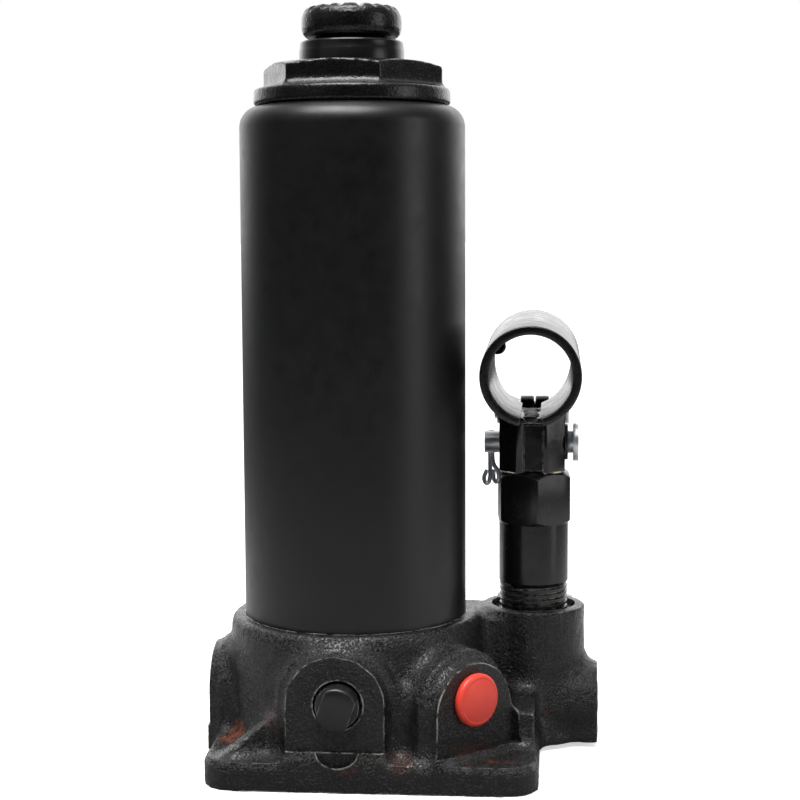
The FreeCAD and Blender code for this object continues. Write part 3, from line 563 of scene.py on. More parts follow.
# colours and roughness drift between two values; cast, peel and lathed end with the height in millimetres;
# wear is width, amount and patch size; rust is strength and the height it reaches, in metres
finishes = {
    "castEnamel": {"color": (0.0035, 0.0035, 0.004), "colorTwo": (0.007, 0.0068, 0.0065),
                   "rough": (0.15, 0.30), "cast": (1800.0, 420.0, 0.17), "wear": (0.6, 1.0, 300.0),
                   "bare": (0.55, 0.54, 0.51), "rust": (0.8, 0.012), "dust": 0.07,
                   "rustAt": [((-29.5, -18, 7.5), 6.0, 0.9), ((-17, -31, 16), 4.0, 0.2),
                              ((15, -37, 8), 5.0, 0.2), ((30, 30, 7), 7.0, 0.5)]},
    "tankEnamel": {"color": (0.003, 0.003, 0.0034), "colorTwo": (0.004, 0.004, 0.0044),
                   "rough": (0.34, 0.42), "peel": (330.0, 700.0, 0.014), "wear": (0.5, 0.25, 300.0),
                   "dust": 0.010},
    "forgedBlack": {"color": (0.003, 0.003, 0.0032), "colorTwo": (0.005, 0.005, 0.005),
                    "rough": (0.17, 0.28), "cast": (1300.0, 220.0, 0.045), "wear": (0.45, 1.0, 420.0),
                    "dust": 0.03, "bare": (0.45, 0.44, 0.42)},
    "turnedBlack": {"color": (0.0028, 0.0028, 0.003), "colorTwo": (0.005, 0.005, 0.005),
                    "rough": (0.20, 0.30), "peel": (420.0, 900.0, 0.012), "wear": (0.4, 0.8, 460.0),
                    "dust": 0.02},
    "stubBlack": {"color": (0.006, 0.006, 0.0065), "colorTwo": (0.014, 0.013, 0.013),
                  "rough": (0.26, 0.40), "peel": (600.0, 900.0, 0.05), "wear": (0.5, 0.9, 500.0),
                  "dust": 0.10},
    "sheetBlack": {"color": (0.003, 0.003, 0.003), "colorTwo": (0.006, 0.0055, 0.005),
                   "rough": (0.16, 0.32), "peel": (420.0, 900.0, 0.06), "wear": (0.45, 0.8, 420.0),
                   "dust": 0.04},
    "weldBead": {"color": (0.004, 0.004, 0.004), "colorTwo": (0.012, 0.010, 0.009), "rough": (0.42, 0.60),
                 "cast": (1500.0, 500.0, 0.12), "wear": (0.5, 0.2, 600.0)},
    "groundSteel": {"color": (0.56, 0.56, 0.57), "colorTwo": (0.50, 0.50, 0.51), "rough": (0.16, 0.26),
                    "metal": True, "lathed": ("Z", 2600.0, 0.004), "dust": 0.04},
    "turnedSteel": {"color": (0.36, 0.355, 0.35), "colorTwo": (0.27, 0.265, 0.26), "rough": (0.28, 0.42),
                    "metal": True, "lathed": ("Z", 1400.0, 0.01), "dust": 0.10},
    "zincPlate": {"color": (0.86, 0.89, 0.92), "colorTwo": (0.72, 0.75, 0.78), "rough": (0.34, 0.48),
                  "metal": True, "lathed": ("X", 1800.0, 0.002), "dust": 0.03},
    "springSteel": {"color": (0.42, 0.42, 0.43), "colorTwo": (0.30, 0.30, 0.31), "rough": (0.25, 0.38),
                    "metal": True, "peel": (700.0, 900.0, 0.006), "dust": 0.05},
    "turnedBrass": {"color": (0.70, 0.47, 0.19), "colorTwo": (0.55, 0.35, 0.13), "rough": (0.22, 0.36),
                    "metal": True, "lathed": ("Z", 1700.0, 0.006), "dust": 0.05},
    "oilRubber": {"color": (0.012, 0.012, 0.012), "colorTwo": (0.020, 0.020, 0.020),
                  "rough": (0.45, 0.62), "peel": (600.0, 1100.0, 0.02), "dust": 0.12},
    "redCap": {"color": (0.93, 0.075, 0.045), "colorTwo": (0.88, 0.065, 0.040), "rough": (0.34, 0.46),
               "driftScale": 160.0, "peel": (420.0, 1200.0, 0.03), "subsurface": 0.12},
    "steelBall": {"color": (0.55, 0.55, 0.56), "colorTwo": (0.48, 0.48, 0.49), "rough": (0.10, 0.18),
                  "metal": True, "peel": (900.0, 1500.0, 0.002)},
}
paint = {name: surface(name, look) for name, look in finishes.items()}

# a pale floor that looks white; what stands on it gets a soft light back from a pool of light painted into
# the floor's colour for every ray but the camera's, with painted shade close by, far away and towards the
# front
floorLook = {
    "color": (0.90, 0.90, 0.90), "colorTwo": (0.87, 0.87, 0.87), "rough": (0.55, 0.7), "driftScale": 3.0,
    "shine": 0.2, "size": 12000, "below": 0.05, "seen": (0.9, 0.9, 0.9), "glow": 0.6,
    "back": [(0.05, 0.26), (0.13, 0.44), (0.21, 0.82), (0.33, 0.40), (0.55, 0.02)],
    "frontEdge": (-0.30, 0.75), "rearEdge": (0.05, 1.0),
}


def paintFloor():
    material = surface("paleFloor", floorLook)
    tree = material.node_tree
    shader = next(n for n in tree.nodes if n.type == "BSDF_PRINCIPLED")
    shader.inputs["Emission Color"].default_value = (1, 1, 1, 1)
    fromCamera = step(tree, "LightPath").outputs["Is Camera Ray"]
    place = step(tree, "TexCoord").outputs["Object"]
    away = step(tree, "VectorMath", {0: place}, operation="LENGTH").outputs["Value"]
    # painted light and shade: for all rays but the camera's, the floor's colour is a painted pool of light,
    # darker close by, far away and towards the front
    (front, dimmed), (rear, full) = floorLook["frontEdge"], floorLook["rearEdge"]
    side = fit(tree, step(tree, "SeparateXYZ", {0: place}).outputs["Y"], front, rear, dimmed, full)
    nearby = calc(tree, "MULTIPLY", ramp(tree, away, floorLook["back"]), side)
    shown = blendColor(tree, fromCamera, (0.0, 0.0, 0.0), floorLook["seen"])
    returned = blendColor(tree, nearby, (0.0, 0.0, 0.0), (1.0, 1.0, 1.0))
    shade = step(tree, "VectorMath", {0: shown, 1: returned}, operation="MAXIMUM").outputs[0]
    tree.links.new(shade, shader.inputs["Base Color"])
    tree.links.new(calc(tree, "MULTIPLY", fromCamera, floorLook["glow"]), shader.inputs["Emission Strength"])
    return material


paint["paleFloor"] = paintFloor()
floorShape = bmesh.new()
bmesh.ops.create_grid(floorShape, x_segments=4, y_segments=4, size=floorLook["size"])
bmesh.ops.translate(floorShape, verts=floorShape.verts, vec=(0, 0, -floorLook["below"]))
floor = bare("floor", floorShape)
floor.data.materials.append(paint["paleFloor"])

# every CAD node that stays visible takes one of these
nodeFinish = {
    "tank_gasket": "oilRubber", "tank_seal": "oilRubber", "cylinder_gasket": "oilRubber",
    "ram_seal": "oilRubber", "ram_wiper": "oilRubber", "pump_gasket": "oilRubber",
    "release_seal": "oilRubber", "piston_cup": "oilRubber", "plunger_seal": "oilRubber",
    "pressure_cylinder": "groundSteel", "ram_guide": "turnedBrass", "pump_gland": "turnedBrass",
    "cup_washer": "turnedSteel", "piston_nut": "turnedSteel", "screw_stop_washer": "turnedSteel",
    "screw_tail_clip": "springSteel", "safety_ball": "steelBall", "release_ball": "steelBall",
    "suction_ball": "steelBall", "discharge_ball": "steelBall", "safety_adjuster": "turnedBrass",
    "oil_strainer": "turnedBrass",
}
for nodeName, finishName in nodeFinish.items():
    frame["nodes"][nodeName].data.materials.clear()
    frame["nodes"][nodeName].data.materials.append(paint[finishName])
print("materials ready:", len(paint))

# shared places: the first three are read from the CAD nodes
pumpX, pumpY = middle("pump_cylinder").x, middle("pump_cylinder").y
tankLow, tankHigh = span("tank_tube")
valveX = middle("release_screw").x
valveZ, safetyZ = 21.5, 21.6
safetyFace = -43.3       # how far out the safety valve's pad stands, before it is turned to its corner
leftPlugZ, rightPlugZ = 13.5, 11.5
linkY, linkZ = 40.55, 29.95
socketTilt, plungerPinZ = 1.5, 80.5
cornerShift = 2.8


def tilt(bm):
    # from the level pose to the rest pose of the handle body
    return turned(bm, socketTilt, "X", (pumpX, pumpY, plungerPinZ))


def corner(bm):
    # from a place that faces -Y to the pad at 45 degrees
    bmesh.ops.translate(bm, verts=bm.verts, vec=(cornerShift, 0, 0))
    return turned(bm, 45, "Z")


def outward(bm, place):
    # a lathe's top turned to face -Y, with its foot at the place
    turned(bm, 90, "X")
    bmesh.ops.translate(bm, verts=bm.verts, vec=place)
    return bm


# base casting
base = {"grain": 0.70, "fillet": 2.4, "smooth": 1, "lump": 0.36, "lumpSize": 3.2,
        "left": -35, "right": 48.5, "halfDepth": 38.5, "corner": 8, "edge": 5.6, "deck": 7.1, "ribFoot": 2,
        "cupRadius": 32.9, "cupTop": 37.4, "pumpBoss": 15.2, "padFoot": 4, "padBack": -20,
        "rightBossEnd": 63.8, "earGap": (3.2, 2.0), "earRadius": 4.6, "boreBottom": 16, "ramSeat": 18.5,
        "slotHalf": 4.3, "slotFront": 33.55, "pinBore": 3.05, "scoopDepth": 22.9}


def archPad(radius, centreZ, bottom, front, x=0.0):
    # a round-topped pad that runs back into the cup from its face
    outline = [(x + radius, bottom), *arc(x, centreZ, radius, 0, 180, 28), (x - radius, bottom)]
    return prism([(px, front, pz) for px, pz in outline], (0, base["padBack"] - front, 0))


def platePart(inset, low, high):
    bm = slab((base["left"] + inset, inset - base["halfDepth"], low),
              (base["right"] - inset, base["halfDepth"] - inset, high))
    upright = [e for e in bm.edges if abs((e.verts[0].co - e.verts[1].co).z) > 1]
    bmesh.ops.bevel(bm, geom=upright, offset=base["corner"], segments=12, profile=0.5, affect="EDGES",
                    material=-1)
    return bm


def rib(start, end, startZ, endZ, half):
    start, end, foot = Vector(start), Vector(end), base["ribFoot"]
    side = (end - start).normalized().orthogonal() * half
    near, far = start - side, end - side
    return prism([(*near, foot), (*far, foot), (*far, endZ), (*near, startZ)], (2 * side.x, 2 * side.y, 0))


def baseBody():
    # plate, cup under the tank, and the pump's boss with its web
    cup, top, boss = base["cupRadius"], base["cupTop"], base["pumpBoss"]
    return [
        platePart(0.0, 0, base["edge"]), platePart(0.5, 0.2, base["deck"]),
        lathe([(0, 1), (cup, 1), (cup, 31), (cup - 0.2, 34.6), (cup - 0.8, 36.6), (cup - 1.7, top),
               (0, top)], steps=96),
        slab((16, 2.5, 1), (pumpX, 27.5, 34.6)),
        lathe([(0, 1), (boss, 1), (boss - 1.2, 9), (boss - 1.5, 18), (boss - 1.5, 36.7), (0, 36.7)],
              (pumpX, pumpY), 96),
    ]


def basePads():
    # a pad for the release valve, one for the safety valve on the corner, and one for each drill plug
    foot = base["padFoot"]
    ledge = [(-33, foot), (-38.4, foot), (-38.4, 7.6), (-38.1, 8.3), (-36.3, 10.1), (-33, 10.1)]
    return [
        archPad(12.4, 21.2, foot, -37.1, -1.4), archPad(15.2, 21.0, foot, -33.4, -1.4),
        prism([(-13.8, y, z) for y, z in ledge], (24.8, 0, 0)),
        corner(archPad(12.4, 18.3, foot, -43.9)), corner(archPad(14.6, 18.6, foot, -39.5)),
        corner(slab((-13.2, -44.2, foot), (13.0, -38, 8.2))),
        turned(archPad(11.5, 17.0, 2, -38.1), -90, "Z"), turned(archPad(13.0, 17.0, 2, -35.0), -90, "Z"),
        slab((41, -20.5, 1), (47.3, 15, 16.0)),
        rod((pumpX, 13, rightPlugZ), (base["rightBossEnd"], 13, rightPlugZ), 12.4, 9.6),
        slab((pumpX, 4, 1), (base["rightBossEnd"], 22, rightPlugZ)),
    ]


def baseRibsAndEars():
    ribs = [
        rib((-31.5, -35.0), (-12.5, -26.5), 6.6, 21.5, 2.0), rib((-31, -35), (-22, -24), 6.0, 12.0, 3.0),
        rib((-31, 34), (-20.5, 22.5), 6.8, 22.0, 2.2), rib((30, 34), (20.5, 22.5), 6.8, 22.0, 2.2),
        rib((31.0, -35.5), (13.0, -30.0), 6.4, 10.0, 2.2),
    ]
    pin = span("link_pin")
    left, right = pin[0].x + base["earGap"][0], pin[1].x - base["earGap"][1]
    radius = base["earRadius"]
    ears = [slab((left, 26.5, 1), (right, linkY + radius - 0.05, linkZ - 0.05)),
            rod((left, linkY, linkZ), (right, linkY, linkZ), radius)]
    return ribs + ears


def baseBores():
    # first the wells for tank, ram and pump and the slot between the ears, then the bores from the sides
    bottom, ramSeat = base["boreBottom"], base["ramSeat"]
    seat = lathe([(0, bottom), (ramSeat, bottom), (ramSeat, 26), (26.6, 26), (26.6, 31.5), (29.06, 31.5),
                  (29.06, 38.6), (29.6, 41), (29.6, 60), (0, 60)], steps=160)
    well = lathe([(0, 27), (9.0, 27), (9.0, 35.2), (10.9, 35.2), (11.3, 36.9), (11.3, 50), (0, 50)],
                 (pumpX, pumpY))
    slot = slab((pumpX - base["slotHalf"], base["slotFront"], 21.95), (pumpX + base["slotHalf"], 60, 60))
    valveBore = outward(lathe([(0, -12), (5.46, -12), (5.46, -6.0), (6.2, -6.0), (6.2, 12), (0, 12)]),
                        (valveX, -40.0, valveZ))
    corkBore = corner(outward(lathe([(0, -6), (5.92, -6), (5.92, 9), (0, 9)]), (0, safetyFace, safetyZ)))
    leftBore = turned(outward(lathe([(0, -12), (4, -12), (4, 0.1), (5.6, 1.4), (5.6, 12), (0, 12)]),
                              (0, -37.8, leftPlugZ)), -90, "Z")
    rightBore = turned(outward(lathe([(0, -10), (4, -10), (4, -0.6), (5.0, 0.6), (5.0, 12), (0, 12)]),
                               (13, -64.0, rightPlugZ)), 90, "Z")
    pinHole = rod((20, linkY, linkZ), (80, linkY, linkZ), base["pinBore"])
    return together(seat, well, slot), together(valveBore, corkBore, leftBore, rightBore, pinHole)


def baseFaces():
    # milled pad faces, the scoop below the release valve, and the flat underside
    milled = [slab((-18, -60, 9.9), (14.6, -36.5, 60)),
              corner(slab((-16, -70, 8.7), (13.4, safetyFace, 60))), slab((-60, -20, 8.6), (-37.4, 20, 60))]
    rim = [(-6.3, 14), (-6.0, 9.6), (-5.4, 8.2), (-4.0, 7.0), (-2.4, 6.4), (-0.8, 6.2), (0.8, 6.4),
           (2.4, 7.0), (3.8, 8.2), (4.4, 9.6), (4.7, 14)]
    scoop = prism([(x, -60, z) for x, z in rim], (0, base["scoopDepth"], 0))
    return together(*milled), scoop, slab((-80, -80, -30), (90, 80, 0))


def buildBase():
    obj = bare("baseCasting", together(*baseBody(), *basePads(), *baseRibsAndEars()))
    foundry(obj, base["grain"], base["fillet"], base["smooth"], base["lump"], base["lumpSize"])
    carve(obj, *baseBores(), *baseFaces())
    return finished(obj, "base", paint["castEnamel"], ("base_casting",), 40)


buildBase()
print("base casting ready")


# tank tube
tank = {"shoulder": 5.5, "wall": 2.4, "mouth": 23.25, "chamfer": 0.4, "fillerHole": 5.0, "steps": 224}


def buildTank():
    radius, top, bottom = tankHigh.x, tankHigh.z, tankLow.z
    inner = radius - tank["wall"]
    shoulder, mouth, chamfer = tank["shoulder"], tank["mouth"], tank["chamfer"]
    outline = [(inner, bottom), (radius - chamfer, bottom), (radius, bottom + chamfer)]
    outline += [(radius, bottom + (top - shoulder - 0.1 - bottom) * i / 12) for i in range(1, 12)]
    outline += arc(radius - shoulder, top - shoulder, shoulder, 0, 88, 14)
    outline += [(mouth, top), (mouth, top - 2.0), (inner - 1.2, top - shoulder + 0.4), (inner, top - 8)]
    obj = bare("tankTube", lathe(outline, steps=tank["steps"]))
    filler = middle("filler_plug")
    carve(obj, rod((0, 20, filler.z), (0, 40, filler.z), tank["fillerHole"]))
    return finished(obj, "base", paint["tankEnamel"], ("tank_tube",), 30)


# top nut: a forged hexagon on a turned flange
nut = {"flats": 41.0, "turn": 23.0, "chamfer": 1.1, "grain": 0.42, "fillet": 1.1, "lump": 0.07,
       "tail": 22.5, "bore": 18.5, "boreTop": 170.4, "neck": 13.56, "mouth": 14.6}


def hexBar(flats, bottom, top, turn, chamfer, x=0.0, y=0.0, ends="both"):
    # six flats, with the corners turned off at both ends or at the top alone
    bm = bmesh.new()
    points = flats / math.sqrt(3)
    bmesh.ops.create_cone(bm, cap_ends=True, segments=6, radius1=points, radius2=points, depth=top - bottom)
    turned(bm, turn, "Z")
    bmesh.ops.translate(bm, verts=bm.verts, vec=(x, y, (top + bottom) / 2))
    obj = bare("hexBar", bm)
    reach, inner = points + 0.1, flats / 2 - 0.2
    outline = [(0, bottom)]
    outline += [(inner, bottom), (reach, bottom + chamfer)] if ends == "both" else [(reach, bottom)]
    outline += [(reach, top - chamfer), (inner, top), (0, top)]
    carve(obj, lathe(outline, (x, y), 96), operation="INTERSECT")
    return takenBack(obj)


def buildTopNut():
    low, high = span("top_nut")
    seat, radius = tankHigh.z, high.x
    flange = lathe([(0, low.z), (nut["tail"], low.z), (nut["tail"], seat - 0.2), (radius - 1.0, seat - 0.1)]
                   + arc(radius - 0.9, seat + 0.9, 0.9, -70, 0, 4)
                   + arc(radius - 1.1, seat + 3.3, 1.0, 0, 84, 5) + [(20.0, seat + 4.5), (0, seat + 4.5)])
    flats = hexBar(nut["flats"], seat + 2, high.z, nut["turn"], nut["chamfer"], ends="top")
    obj = bare("topNut", together(flange, flats))
    foundry(obj, nut["grain"], nut["fillet"], 1, nut["lump"], 3.0)
    wide, ledge, neck, mouth = nut["bore"], nut["boreTop"], nut["neck"], nut["mouth"]
    bore = lathe([(0, low.z - 2), (wide, low.z - 2), (wide, ledge), (neck, ledge), (neck, high.z - 0.7),
                  (mouth, high.z + 0.6), (mouth, high.z + 4), (0, high.z + 4)], steps=160)
    carve(obj, bore)
    return finished(obj, "base", paint["forgedBlack"], ("top_nut",), 40)


# ram: ground steel, with black enamel on the top ring that stays out
ram = {"foot": 44, "tail": 7.5, "bore": 9.05, "boreEnd": 60, "blackFrom": 6.1}


def buildRam():
    low, high = span("ram")
    radius, top, foot, tail = high.x, high.z, ram["foot"], ram["tail"]
    outline = [(0, low.z), (tail - 0.5, low.z), (tail, low.z + 0.6), (tail, foot), (radius - 0.5, foot),
               (radius, foot + 0.6), (radius, top - 6.2), (radius, top - 2.6), (radius - 0.07, top - 2.45),
               (radius - 0.30, top - 0.8)]
    outline += arc(radius - 1.1, top - 0.8, 0.8, 4, 88, 6)
    outline += [(ram["bore"] + 0.15, top), (ram["bore"], top - 0.4), (ram["bore"], ram["boreEnd"]),
                (0, ram["boreEnd"])]
    obj = finished(bare("ramRod", lathe(outline)), "ram", paint["groundSteel"], ("ram",), 30)
    return twoTone(obj, paint["turnedBlack"], lambda z: z > top - ram["blackFrom"])


# extension screw: rolled thread, and a forged saddle with a notched rim
screw = {"pitch": 3.0, "core": 7.75, "crest": 8.95, "saddleFoot": 186.0, "notches": 17, "grain": 0.30,
         "fillet": 0.3, "lump": 0.10}


def buildSaddle(top, foot):
    outline = [(0, foot - 2), (9.0, foot - 2), (9.4, foot - 0.1), (11.6, foot + 0.1), (12.4, foot + 0.9),
               (12.8, foot + 2.2), (12.85, foot + 3.9), (12.7, foot + 5.4), (12.2, foot + 6.7),
               (11.4, foot + 7.5), (10.4, top - 0.1), (7.4, top), (5.6, top - 1.6), (0, top - 1.8)]
    saddle = bare("saddle", lathe(outline, steps=96))
    notches = []
    for i in range(screw["notches"]):
        size = random.uniform(0.9, 1.5)
        notch = rod((5.4, 0, top + 0.75), (13.2, 0, top - 0.45), size * 0.8, size, 14)
        notches.append(turned(notch, 360 / screw["notches"] * (i + 0.5) + random.uniform(-4, 4), "Z"))
    carve(saddle, together(*notches))
    foundry(saddle, screw["grain"], screw["fillet"], 2, screw["lump"], 2.2)
    return takenBack(saddle)


def buildScrew():
    low, high = span("extension_screw")
    foot, coreRadius, crest = screw["saddleFoot"], screw["core"], screw["crest"]
    saddle = buildSaddle(high.z, foot)
    ridge = thread(crest, crest - coreRadius, screw["pitch"], low.z + 7.5, foot - 1.5)
    core = lathe([(0, low.z), (3.6, low.z), (4.0, low.z + 0.5), (4.0, low.z + 6), (7.2, low.z + 6),
                  (coreRadius, low.z + 7), (coreRadius, foot - 2.5), (9.0, foot - 2.0), (9.0, foot - 0.5),
                  (0, foot - 0.5)], steps=96)
    obj = finished(bare("extensionScrew", together(saddle, core, ridge)), "screw", paint["forgedBlack"],
                   ("extension_screw",), 38)
    return twoTone(obj, paint["turnedSteel"], lambda z: z < foot - 0.9)


# pump cylinder: milled hexagon above, thread showing at the foot
pump = {"flats": 18.5, "turn": 6.0, "chamfer": 1.3, "flatsBottom": 58.8, "pitch": 1.4, "threadTop": 42.8,
        "core": 8.5, "crest": 9.08, "body": 9.25, "bore": 6, "gland": 7.4}


def buildPump():
    low, high = span("pump_cylinder")
    bore, core, body, gland = pump["bore"], pump["core"], pump["body"], pump["gland"]
    threadTop, shoulder = pump["threadTop"], pump["flatsBottom"] + 2
    barrel = lathe([(bore, low.z), (core, low.z), (core, threadTop - 0.6), (core + 0.4, threadTop),
                    (body, threadTop + 0.4), (body, shoulder), (bore, shoulder)], (pumpX, pumpY))
    obj = bare("pumpCylinder", barrel)
    head = hexBar(pump["flats"], pump["flatsBottom"], high.z, pump["turn"], pump["chamfer"], pumpX, pumpY)
    carve(obj, roundEdges(head, 0.3, 2, 30), operation="UNION")
    carve(obj, lathe([(0, 20), (bore, 20), (bore, high.z - 4), (gland, high.z - 4), (gland, high.z - 0.5),
                      (gland + 0.5, high.z + 0.2), (gland + 0.5, 90), (0, 90)], (pumpX, pumpY)))
    turns = thread(pump["crest"], 0.5, pump["pitch"], low.z + 0.3, threadTop + 0.4, (pumpX, pumpY), 64, 0.22)
    obj = bare("pumpBarrel", together(takenBack(obj), turns))
    return finished(obj, "base", paint["turnedBlack"], ("pump_cylinder",), 28)


# handle socket: thick sheet rolled round, open below and cut away behind
socket = {"outer": 13.0, "inner": 10.7, "gap": 5.4, "edge": 0.45, "axisX": 46.0, "axisZ": 100.7,
          "front": -10.0, "back": 44.0, "dentDepth": 10.5, "dents": [(150, 17, 2.2), (107, 19, 1.2)]}
bracket = {"slantX": 6.2, "slantY": 5.0, "edge": 0.5}
weld = {"shoulders": (38.1, 54.0), "shoulderZ": 91.0, "shoulderRun": (7.2, 1.45, 13), "shoulderSize": 1.35,
        "rootZ": 87.5, "rootRun": (7.6, 1.3, 15), "rootSize": 1.5}


def buildSocket():
    front, back, outer, inner = socket["front"], socket["back"], socket["outer"], socket["inner"]
    half = math.degrees(math.asin(socket["gap"] / (outer + inner)))
    bm = bmesh.new()
    corners = [(0, front, -inner), (0, front, -outer), (0, back, -outer), (0, back, -inner)]
    face = bm.faces.new([bm.verts.new(c) for c in corners])
    turned(bm, -half, "Y")
    bmesh.ops.spin(bm, geom=[face], cent=(0, 0, 0), axis=(0, 1, 0), angle=-math.radians(360 - 2 * half),
                   steps=120)
    bmesh.ops.remove_doubles(bm, verts=bm.verts, dist=1e-4)
    bmesh.ops.recalc_face_normals(bm, faces=bm.faces)
    roundEdges(bm, socket["edge"], 3, 40)
    bmesh.ops.translate(bm, verts=bm.verts, vec=(socket["axisX"], 0, socket["axisZ"]))
    obj = bare("handleSocket", bm)
    z, end = socket["axisZ"], back + 1
    return carve(obj, prism([(20, pumpY - 2, z - 14), (20, end, z + 0.5), (20, end, z - 14)], (50, 0, 0)))


def dimple(angle, y, size):
    # a dent pressed in from outside, so it stands out on the bore's wall
    across, up = arc(socket["axisX"], socket["axisZ"], socket["dentDepth"], angle, angle, 1)[0]
    return ball((across, y, up), size, (1, 1.25, 1))


def reshape(obj, change):
    shape = opened(obj.data)
    change(shape)
    bmesh.ops.scale(shape, vec=(mm, mm, mm), verts=shape.verts)
    shape.to_mesh(obj.data)
    shape.free()
    return obj


def buildBracket():
    # the fork's outer front corners are slanted off like a forging's
    low, high = span("socket_bracket")
    front, slant = low.y - 1, low.y + bracket["slantY"]
    corners = [[(low.x - 1, front), (low.x + bracket["slantX"], front), (low.x - 1, slant)],
               [(high.x + 1, front), (high.x - bracket["slantX"], front), (high.x + 1, slant)]]
    obj = bare("socketBracket", nodeShape("socket_bracket"))
    carve(obj, together(*[prism([(x, y, low.z - 5) for x, y in points], (0, 0, 40)) for points in corners]))
    reshape(obj, lambda bm: roundEdges(bm, bracket["edge"], 2, 28))
    return finished(obj, "handle", paint["sheetBlack"], ("socket_bracket",), 30)


def buildWeld():
    # short overlapping blobs along both of the bracket's shoulders, then the root run along the sleeve's gap
    blobs = []
    start, pitch, count = weld["shoulderRun"]
    for x in weld["shoulders"]:
        for i in range(count):
            centre = (x + random.uniform(-0.15, 0.15), start + i * pitch,
                      weld["shoulderZ"] + random.uniform(-0.1, 0.15))
            blobs.append(ball(centre, weld["shoulderSize"], (1.0, 0.85, 0.9)))
    start, pitch, count = weld["rootRun"]
    for i in range(count):
        centre = (socket["axisX"] + random.uniform(-0.9, 0.9), start + i * pitch,
                  weld["rootZ"] + random.uniform(-0.15, 0.15))
        blobs.append(ball(centre, weld["rootSize"], (1.25, 0.9, 0.55)))
    obj = bare("socketWeld", tilt(together(*blobs)))
    foundry(obj, 0.3, 0.3, 1, 0.10, 1.0)
    return finished(obj, "handle", paint["weldBead"], (), 60)


def buildHandle():
    sleeve = buildSocket()
    carve(sleeve, *[dimple(*dent) for dent in socket["dents"]], operation="UNION")
    reshape(sleeve, tilt)
    finished(sleeve, "handle", paint["sheetBlack"], ("handle_socket",), 32)
    buildBracket()
    buildWeld()


# pump plunger: ground rod; the tang's foot reaches forward and fills the mouth of the fork
plunger = {"tangHalf": 2.5, "tangReach": 7.5, "tangFrom": 73.5, "tangTo": 85.8, "blackFrom": 72.4}


def buildPlunger():
    half = plunger["tangHalf"]
    tang = slab((pumpX - half, pumpY - plunger["tangReach"], plunger["tangFrom"]),
                (pumpX + half, pumpY, plunger["tangTo"]))
    obj = carve(bare("pumpPlunger", nodeShape("pump_plunger")), tang, operation="UNION")
    reshape(obj, lambda bm: roundEdges(bm, 0.35, 2, 28))
    finished(obj, frame["nodes"]["pump_plunger"]["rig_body"], paint["groundSteel"],
             ("pump_plunger",), 30)
    return twoTone(obj, paint["sheetBlack"], lambda z: z > plunger["blackFrom"])


# split pin: a half-round wire bent to an eye below, with its two legs spread above
def buildCotter():
    centre = middle("cotter_pin")
    x, y, z = centre.x + 0.5, centre.y, span("cotter_pin")[1].z
    foot = z - 10.4      # underside of the pin that it goes through
    paths = [
        [(x + 0.35, y, z - 2.6), (x + 0.3, y, z - 5.0), (x + 0.3, y, foot + 1),
         (x + 0.7, y - 0.5, foot - 0.6), (x + 1.9, y - 0.8, foot - 2.0), (x + 2.2, y - 0.9, foot - 4.4),
         (x + 1.2, y - 0.6, foot - 5.4), (x + 0.5, y - 0.3, foot - 4.0), (x + 0.7, y, foot - 1.8)],
        [(x - 0.35, y, z - 3.2), (x - 0.3, y, z - 5.0), (x - 0.3, y, foot + 1),
         (x - 0.3, y - 0.5, foot - 1.0), (x - 0.2, y - 1.0, foot - 3.4), (x - 0.6, y - 1.2, foot - 5.4),
         (x - 1.6, y - 1.2, foot - 5.4), (x - 2.1, y - 0.9, foot - 3.6), (x - 1.1, y - 0.5, foot - 1.9)],
    ]
    made = []
    for path in paths:
        curve = bpy.data.curves.new("wire", "CURVE")
        curve.dimensions, curve.bevel_depth, curve.bevel_resolution = "3D", 0.58 * mm, 4
        curve.use_fill_caps, curve.resolution_u = True, 8
        line = curve.splines.new("NURBS")
        line.points.add(len(path) - 1)
        for point, place in zip(line.points, path):
            point.co = (*(Vector(place) * mm), 1)
        line.order_u, line.use_endpoint_u = 3, True
        wire = bpy.data.objects.new("wire", curve)
        scene.collection.objects.link(wire)
        shape = opened(baked(wire))
        bmesh.ops.remove_doubles(shape, verts=shape.verts, dist=1e-3)
        made.append(shape)
        bpy.data.objects.remove(wire)
    obj = bare("splitPin", together(*made))
    return finished(obj, "handle", paint["zincPlate"], ("cotter_pin",), 60)


# release valve stub: its outer thread ends in two flats for the handle's notch
release = {"flats": 4.0, "flatLength": 3.6, "flatTurn": 20, "edge": 0.45, "thread": 5.4}


def buildRelease():
    front, crest = span("release_screw")[0].y, release["thread"]
    outline = [(0, -18.2), (1.0, -18.2), (2.5, -16.8), (2.5, -12.8), (crest - 0.4, -12.6), (crest, -12.2),
               (crest, -10.6), (3.6, -10.5), (3.6, -8.6), (crest, -8.5), (crest, 0.1)]
    outline += arc(crest - 0.9, 0.1, 0.9, 8, 72, 5) + [(3.4, 1.12), (1.8, 1.2), (0, 1.22)]
    obj = bare("releaseScrew", outward(lathe(outline, steps=96), (valveX, -40.4, valveZ)))
    for side in (-1, 1):
        near, far = sorted((valveX + side * release["flats"], valveX + side * 8))
        flat = slab((near, front - 1, valveZ - 8), (far, front + release["flatLength"], valveZ + 8))
        carve(obj, turned(flat, release["flatTurn"], "Y", (valveX, 0, valveZ)))
    reshape(obj, lambda bm: roundEdges(bm, release["edge"], 3, 28))
    return finished(obj, "release_screw", paint["stubBlack"], ("release_screw",), 30)


# overload valve: snap-in cap, brass adjuster and a real coil
safety = {"cap": 6.6, "stem": 5.9, "coil": 2.3, "wire": 0.48, "turns": 5, "coilLength": 7.0,
          "coilFoot": -29.3}


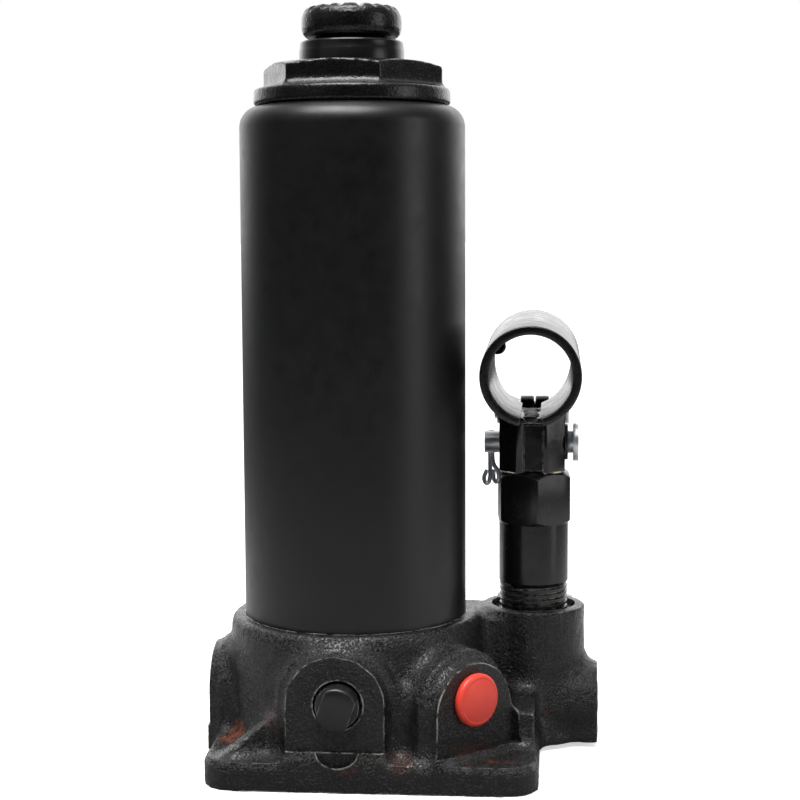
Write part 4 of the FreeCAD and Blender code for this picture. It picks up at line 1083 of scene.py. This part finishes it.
def buildCap():
    cap, stem = safety["cap"], safety["stem"]
    outline = [(0, -2.2), (stem - 0.3, -2.2), (stem, -1.9), (stem, 0), (cap - 0.15, 0), (cap, 0.35),
               (cap, 1.0)]
    outline += arc(cap - 0.9, 1.0, 0.9, 10, 75, 6)
    outline += [(5.75, 1.98), (5.55, 1.9), (5.3, 1.98), (3.6, 2.3), (1.8, 2.5), (0, 2.55)]
    shape = corner(outward(lathe(outline, steps=96), (0, safetyFace, safetyZ)))
    return finished(bare("safetyCap", shape), "base", paint["redCap"], ("safety_cap",), 50)


def buildCoil():
    bm = bmesh.new()
    bmesh.ops.create_circle(bm, segments=10, radius=safety["wire"], cap_ends=True)
    turned(bm, 90, "X")
    bmesh.ops.translate(bm, verts=bm.verts, vec=(safety["coil"], 0, 0.5))
    steps = 26 * safety["turns"]
    bmesh.ops.spin(bm, geom=bm.faces[:], cent=(0, 0, 0), axis=(0, 0, 1), angle=fullTurn * safety["turns"],
                   steps=steps, dvec=(0, 0, safety["coilLength"] / steps))
    bmesh.ops.remove_doubles(bm, verts=bm.verts, dist=1e-4)
    bmesh.ops.recalc_face_normals(bm, faces=bm.faces)
    obj = bare("safetySpring", corner(outward(bm, (0, safety["coilFoot"], safetyZ))))
    return finished(obj, "base", paint["springSteel"], ("safety_spring",), 60)


# drill plugs: set screws with a six-sided socket, sunk in their bosses
plug = {"length": 6.0, "radius": 4, "key": 3.4, "keyDepth": 2.6}


def plugShape():
    radius, length = plug["radius"], plug["length"]
    outline = [(0, -length), (radius - 0.4, -length), (radius, -length + 0.5), (radius, -0.6),
               (radius - 0.5, 0), (0, 0)]
    obj = bare("plug", roundEdges(lathe(outline, steps=64), 0.15, 2, 60))
    carve(obj, hexBar(plug["key"], -plug["keyDepth"], 1.0, 0, 0.01))
    return takenBack(obj)


def buildPlugs():
    for side, place, turn in (("left", (0, -35.9, leftPlugZ), -90), ("right", (13, -62.3, rightPlugZ), 90)):
        obj = bare(side + "Plug", turned(outward(plugShape(), place), turn, "Z"))
        finished(obj, "base", paint["turnedBlack"], (side + "_plug",), 30)


buildTank()
buildTopNut()
buildRam()
buildScrew()
print("tank, nut, ram and screw ready")
buildPump()
buildHandle()
buildPlunger()
buildCotter()
buildRelease()
buildCap()
buildCoil()
buildPlugs()
print("pump, handle and valves ready")

# pins, clips and plates keep their CAD shape; each row gives a finish, a slot and the width of its broken
# edges
smallPieces = {
    "plunger_pin": ("zincPlate", "zinc_steel", 0.3),
    "pin_washer": ("turnedBlack", "black_steel", 0.12),
    "fulcrum_pin": ("zincPlate", "zinc_steel", 0.3),
    "fulcrum_clip": ("springSteel", "spring_steel", 0.12),
    "link_pin": ("zincPlate", "zinc_steel", 0.3),
    "link_pin_clip": ("springSteel", "spring_steel", 0.12),
    "link_plate_left": ("sheetBlack", "black_steel", 0.6),
    "link_plate_right": ("sheetBlack", "black_steel", 0.6),
    "filler_plug": ("oilRubber", "rubber", 0.5),
}
for nodeName, (finishName, slotName, width) in smallPieces.items():
    softened(nodeName, width, paint[finishName])
print("small pieces ready")
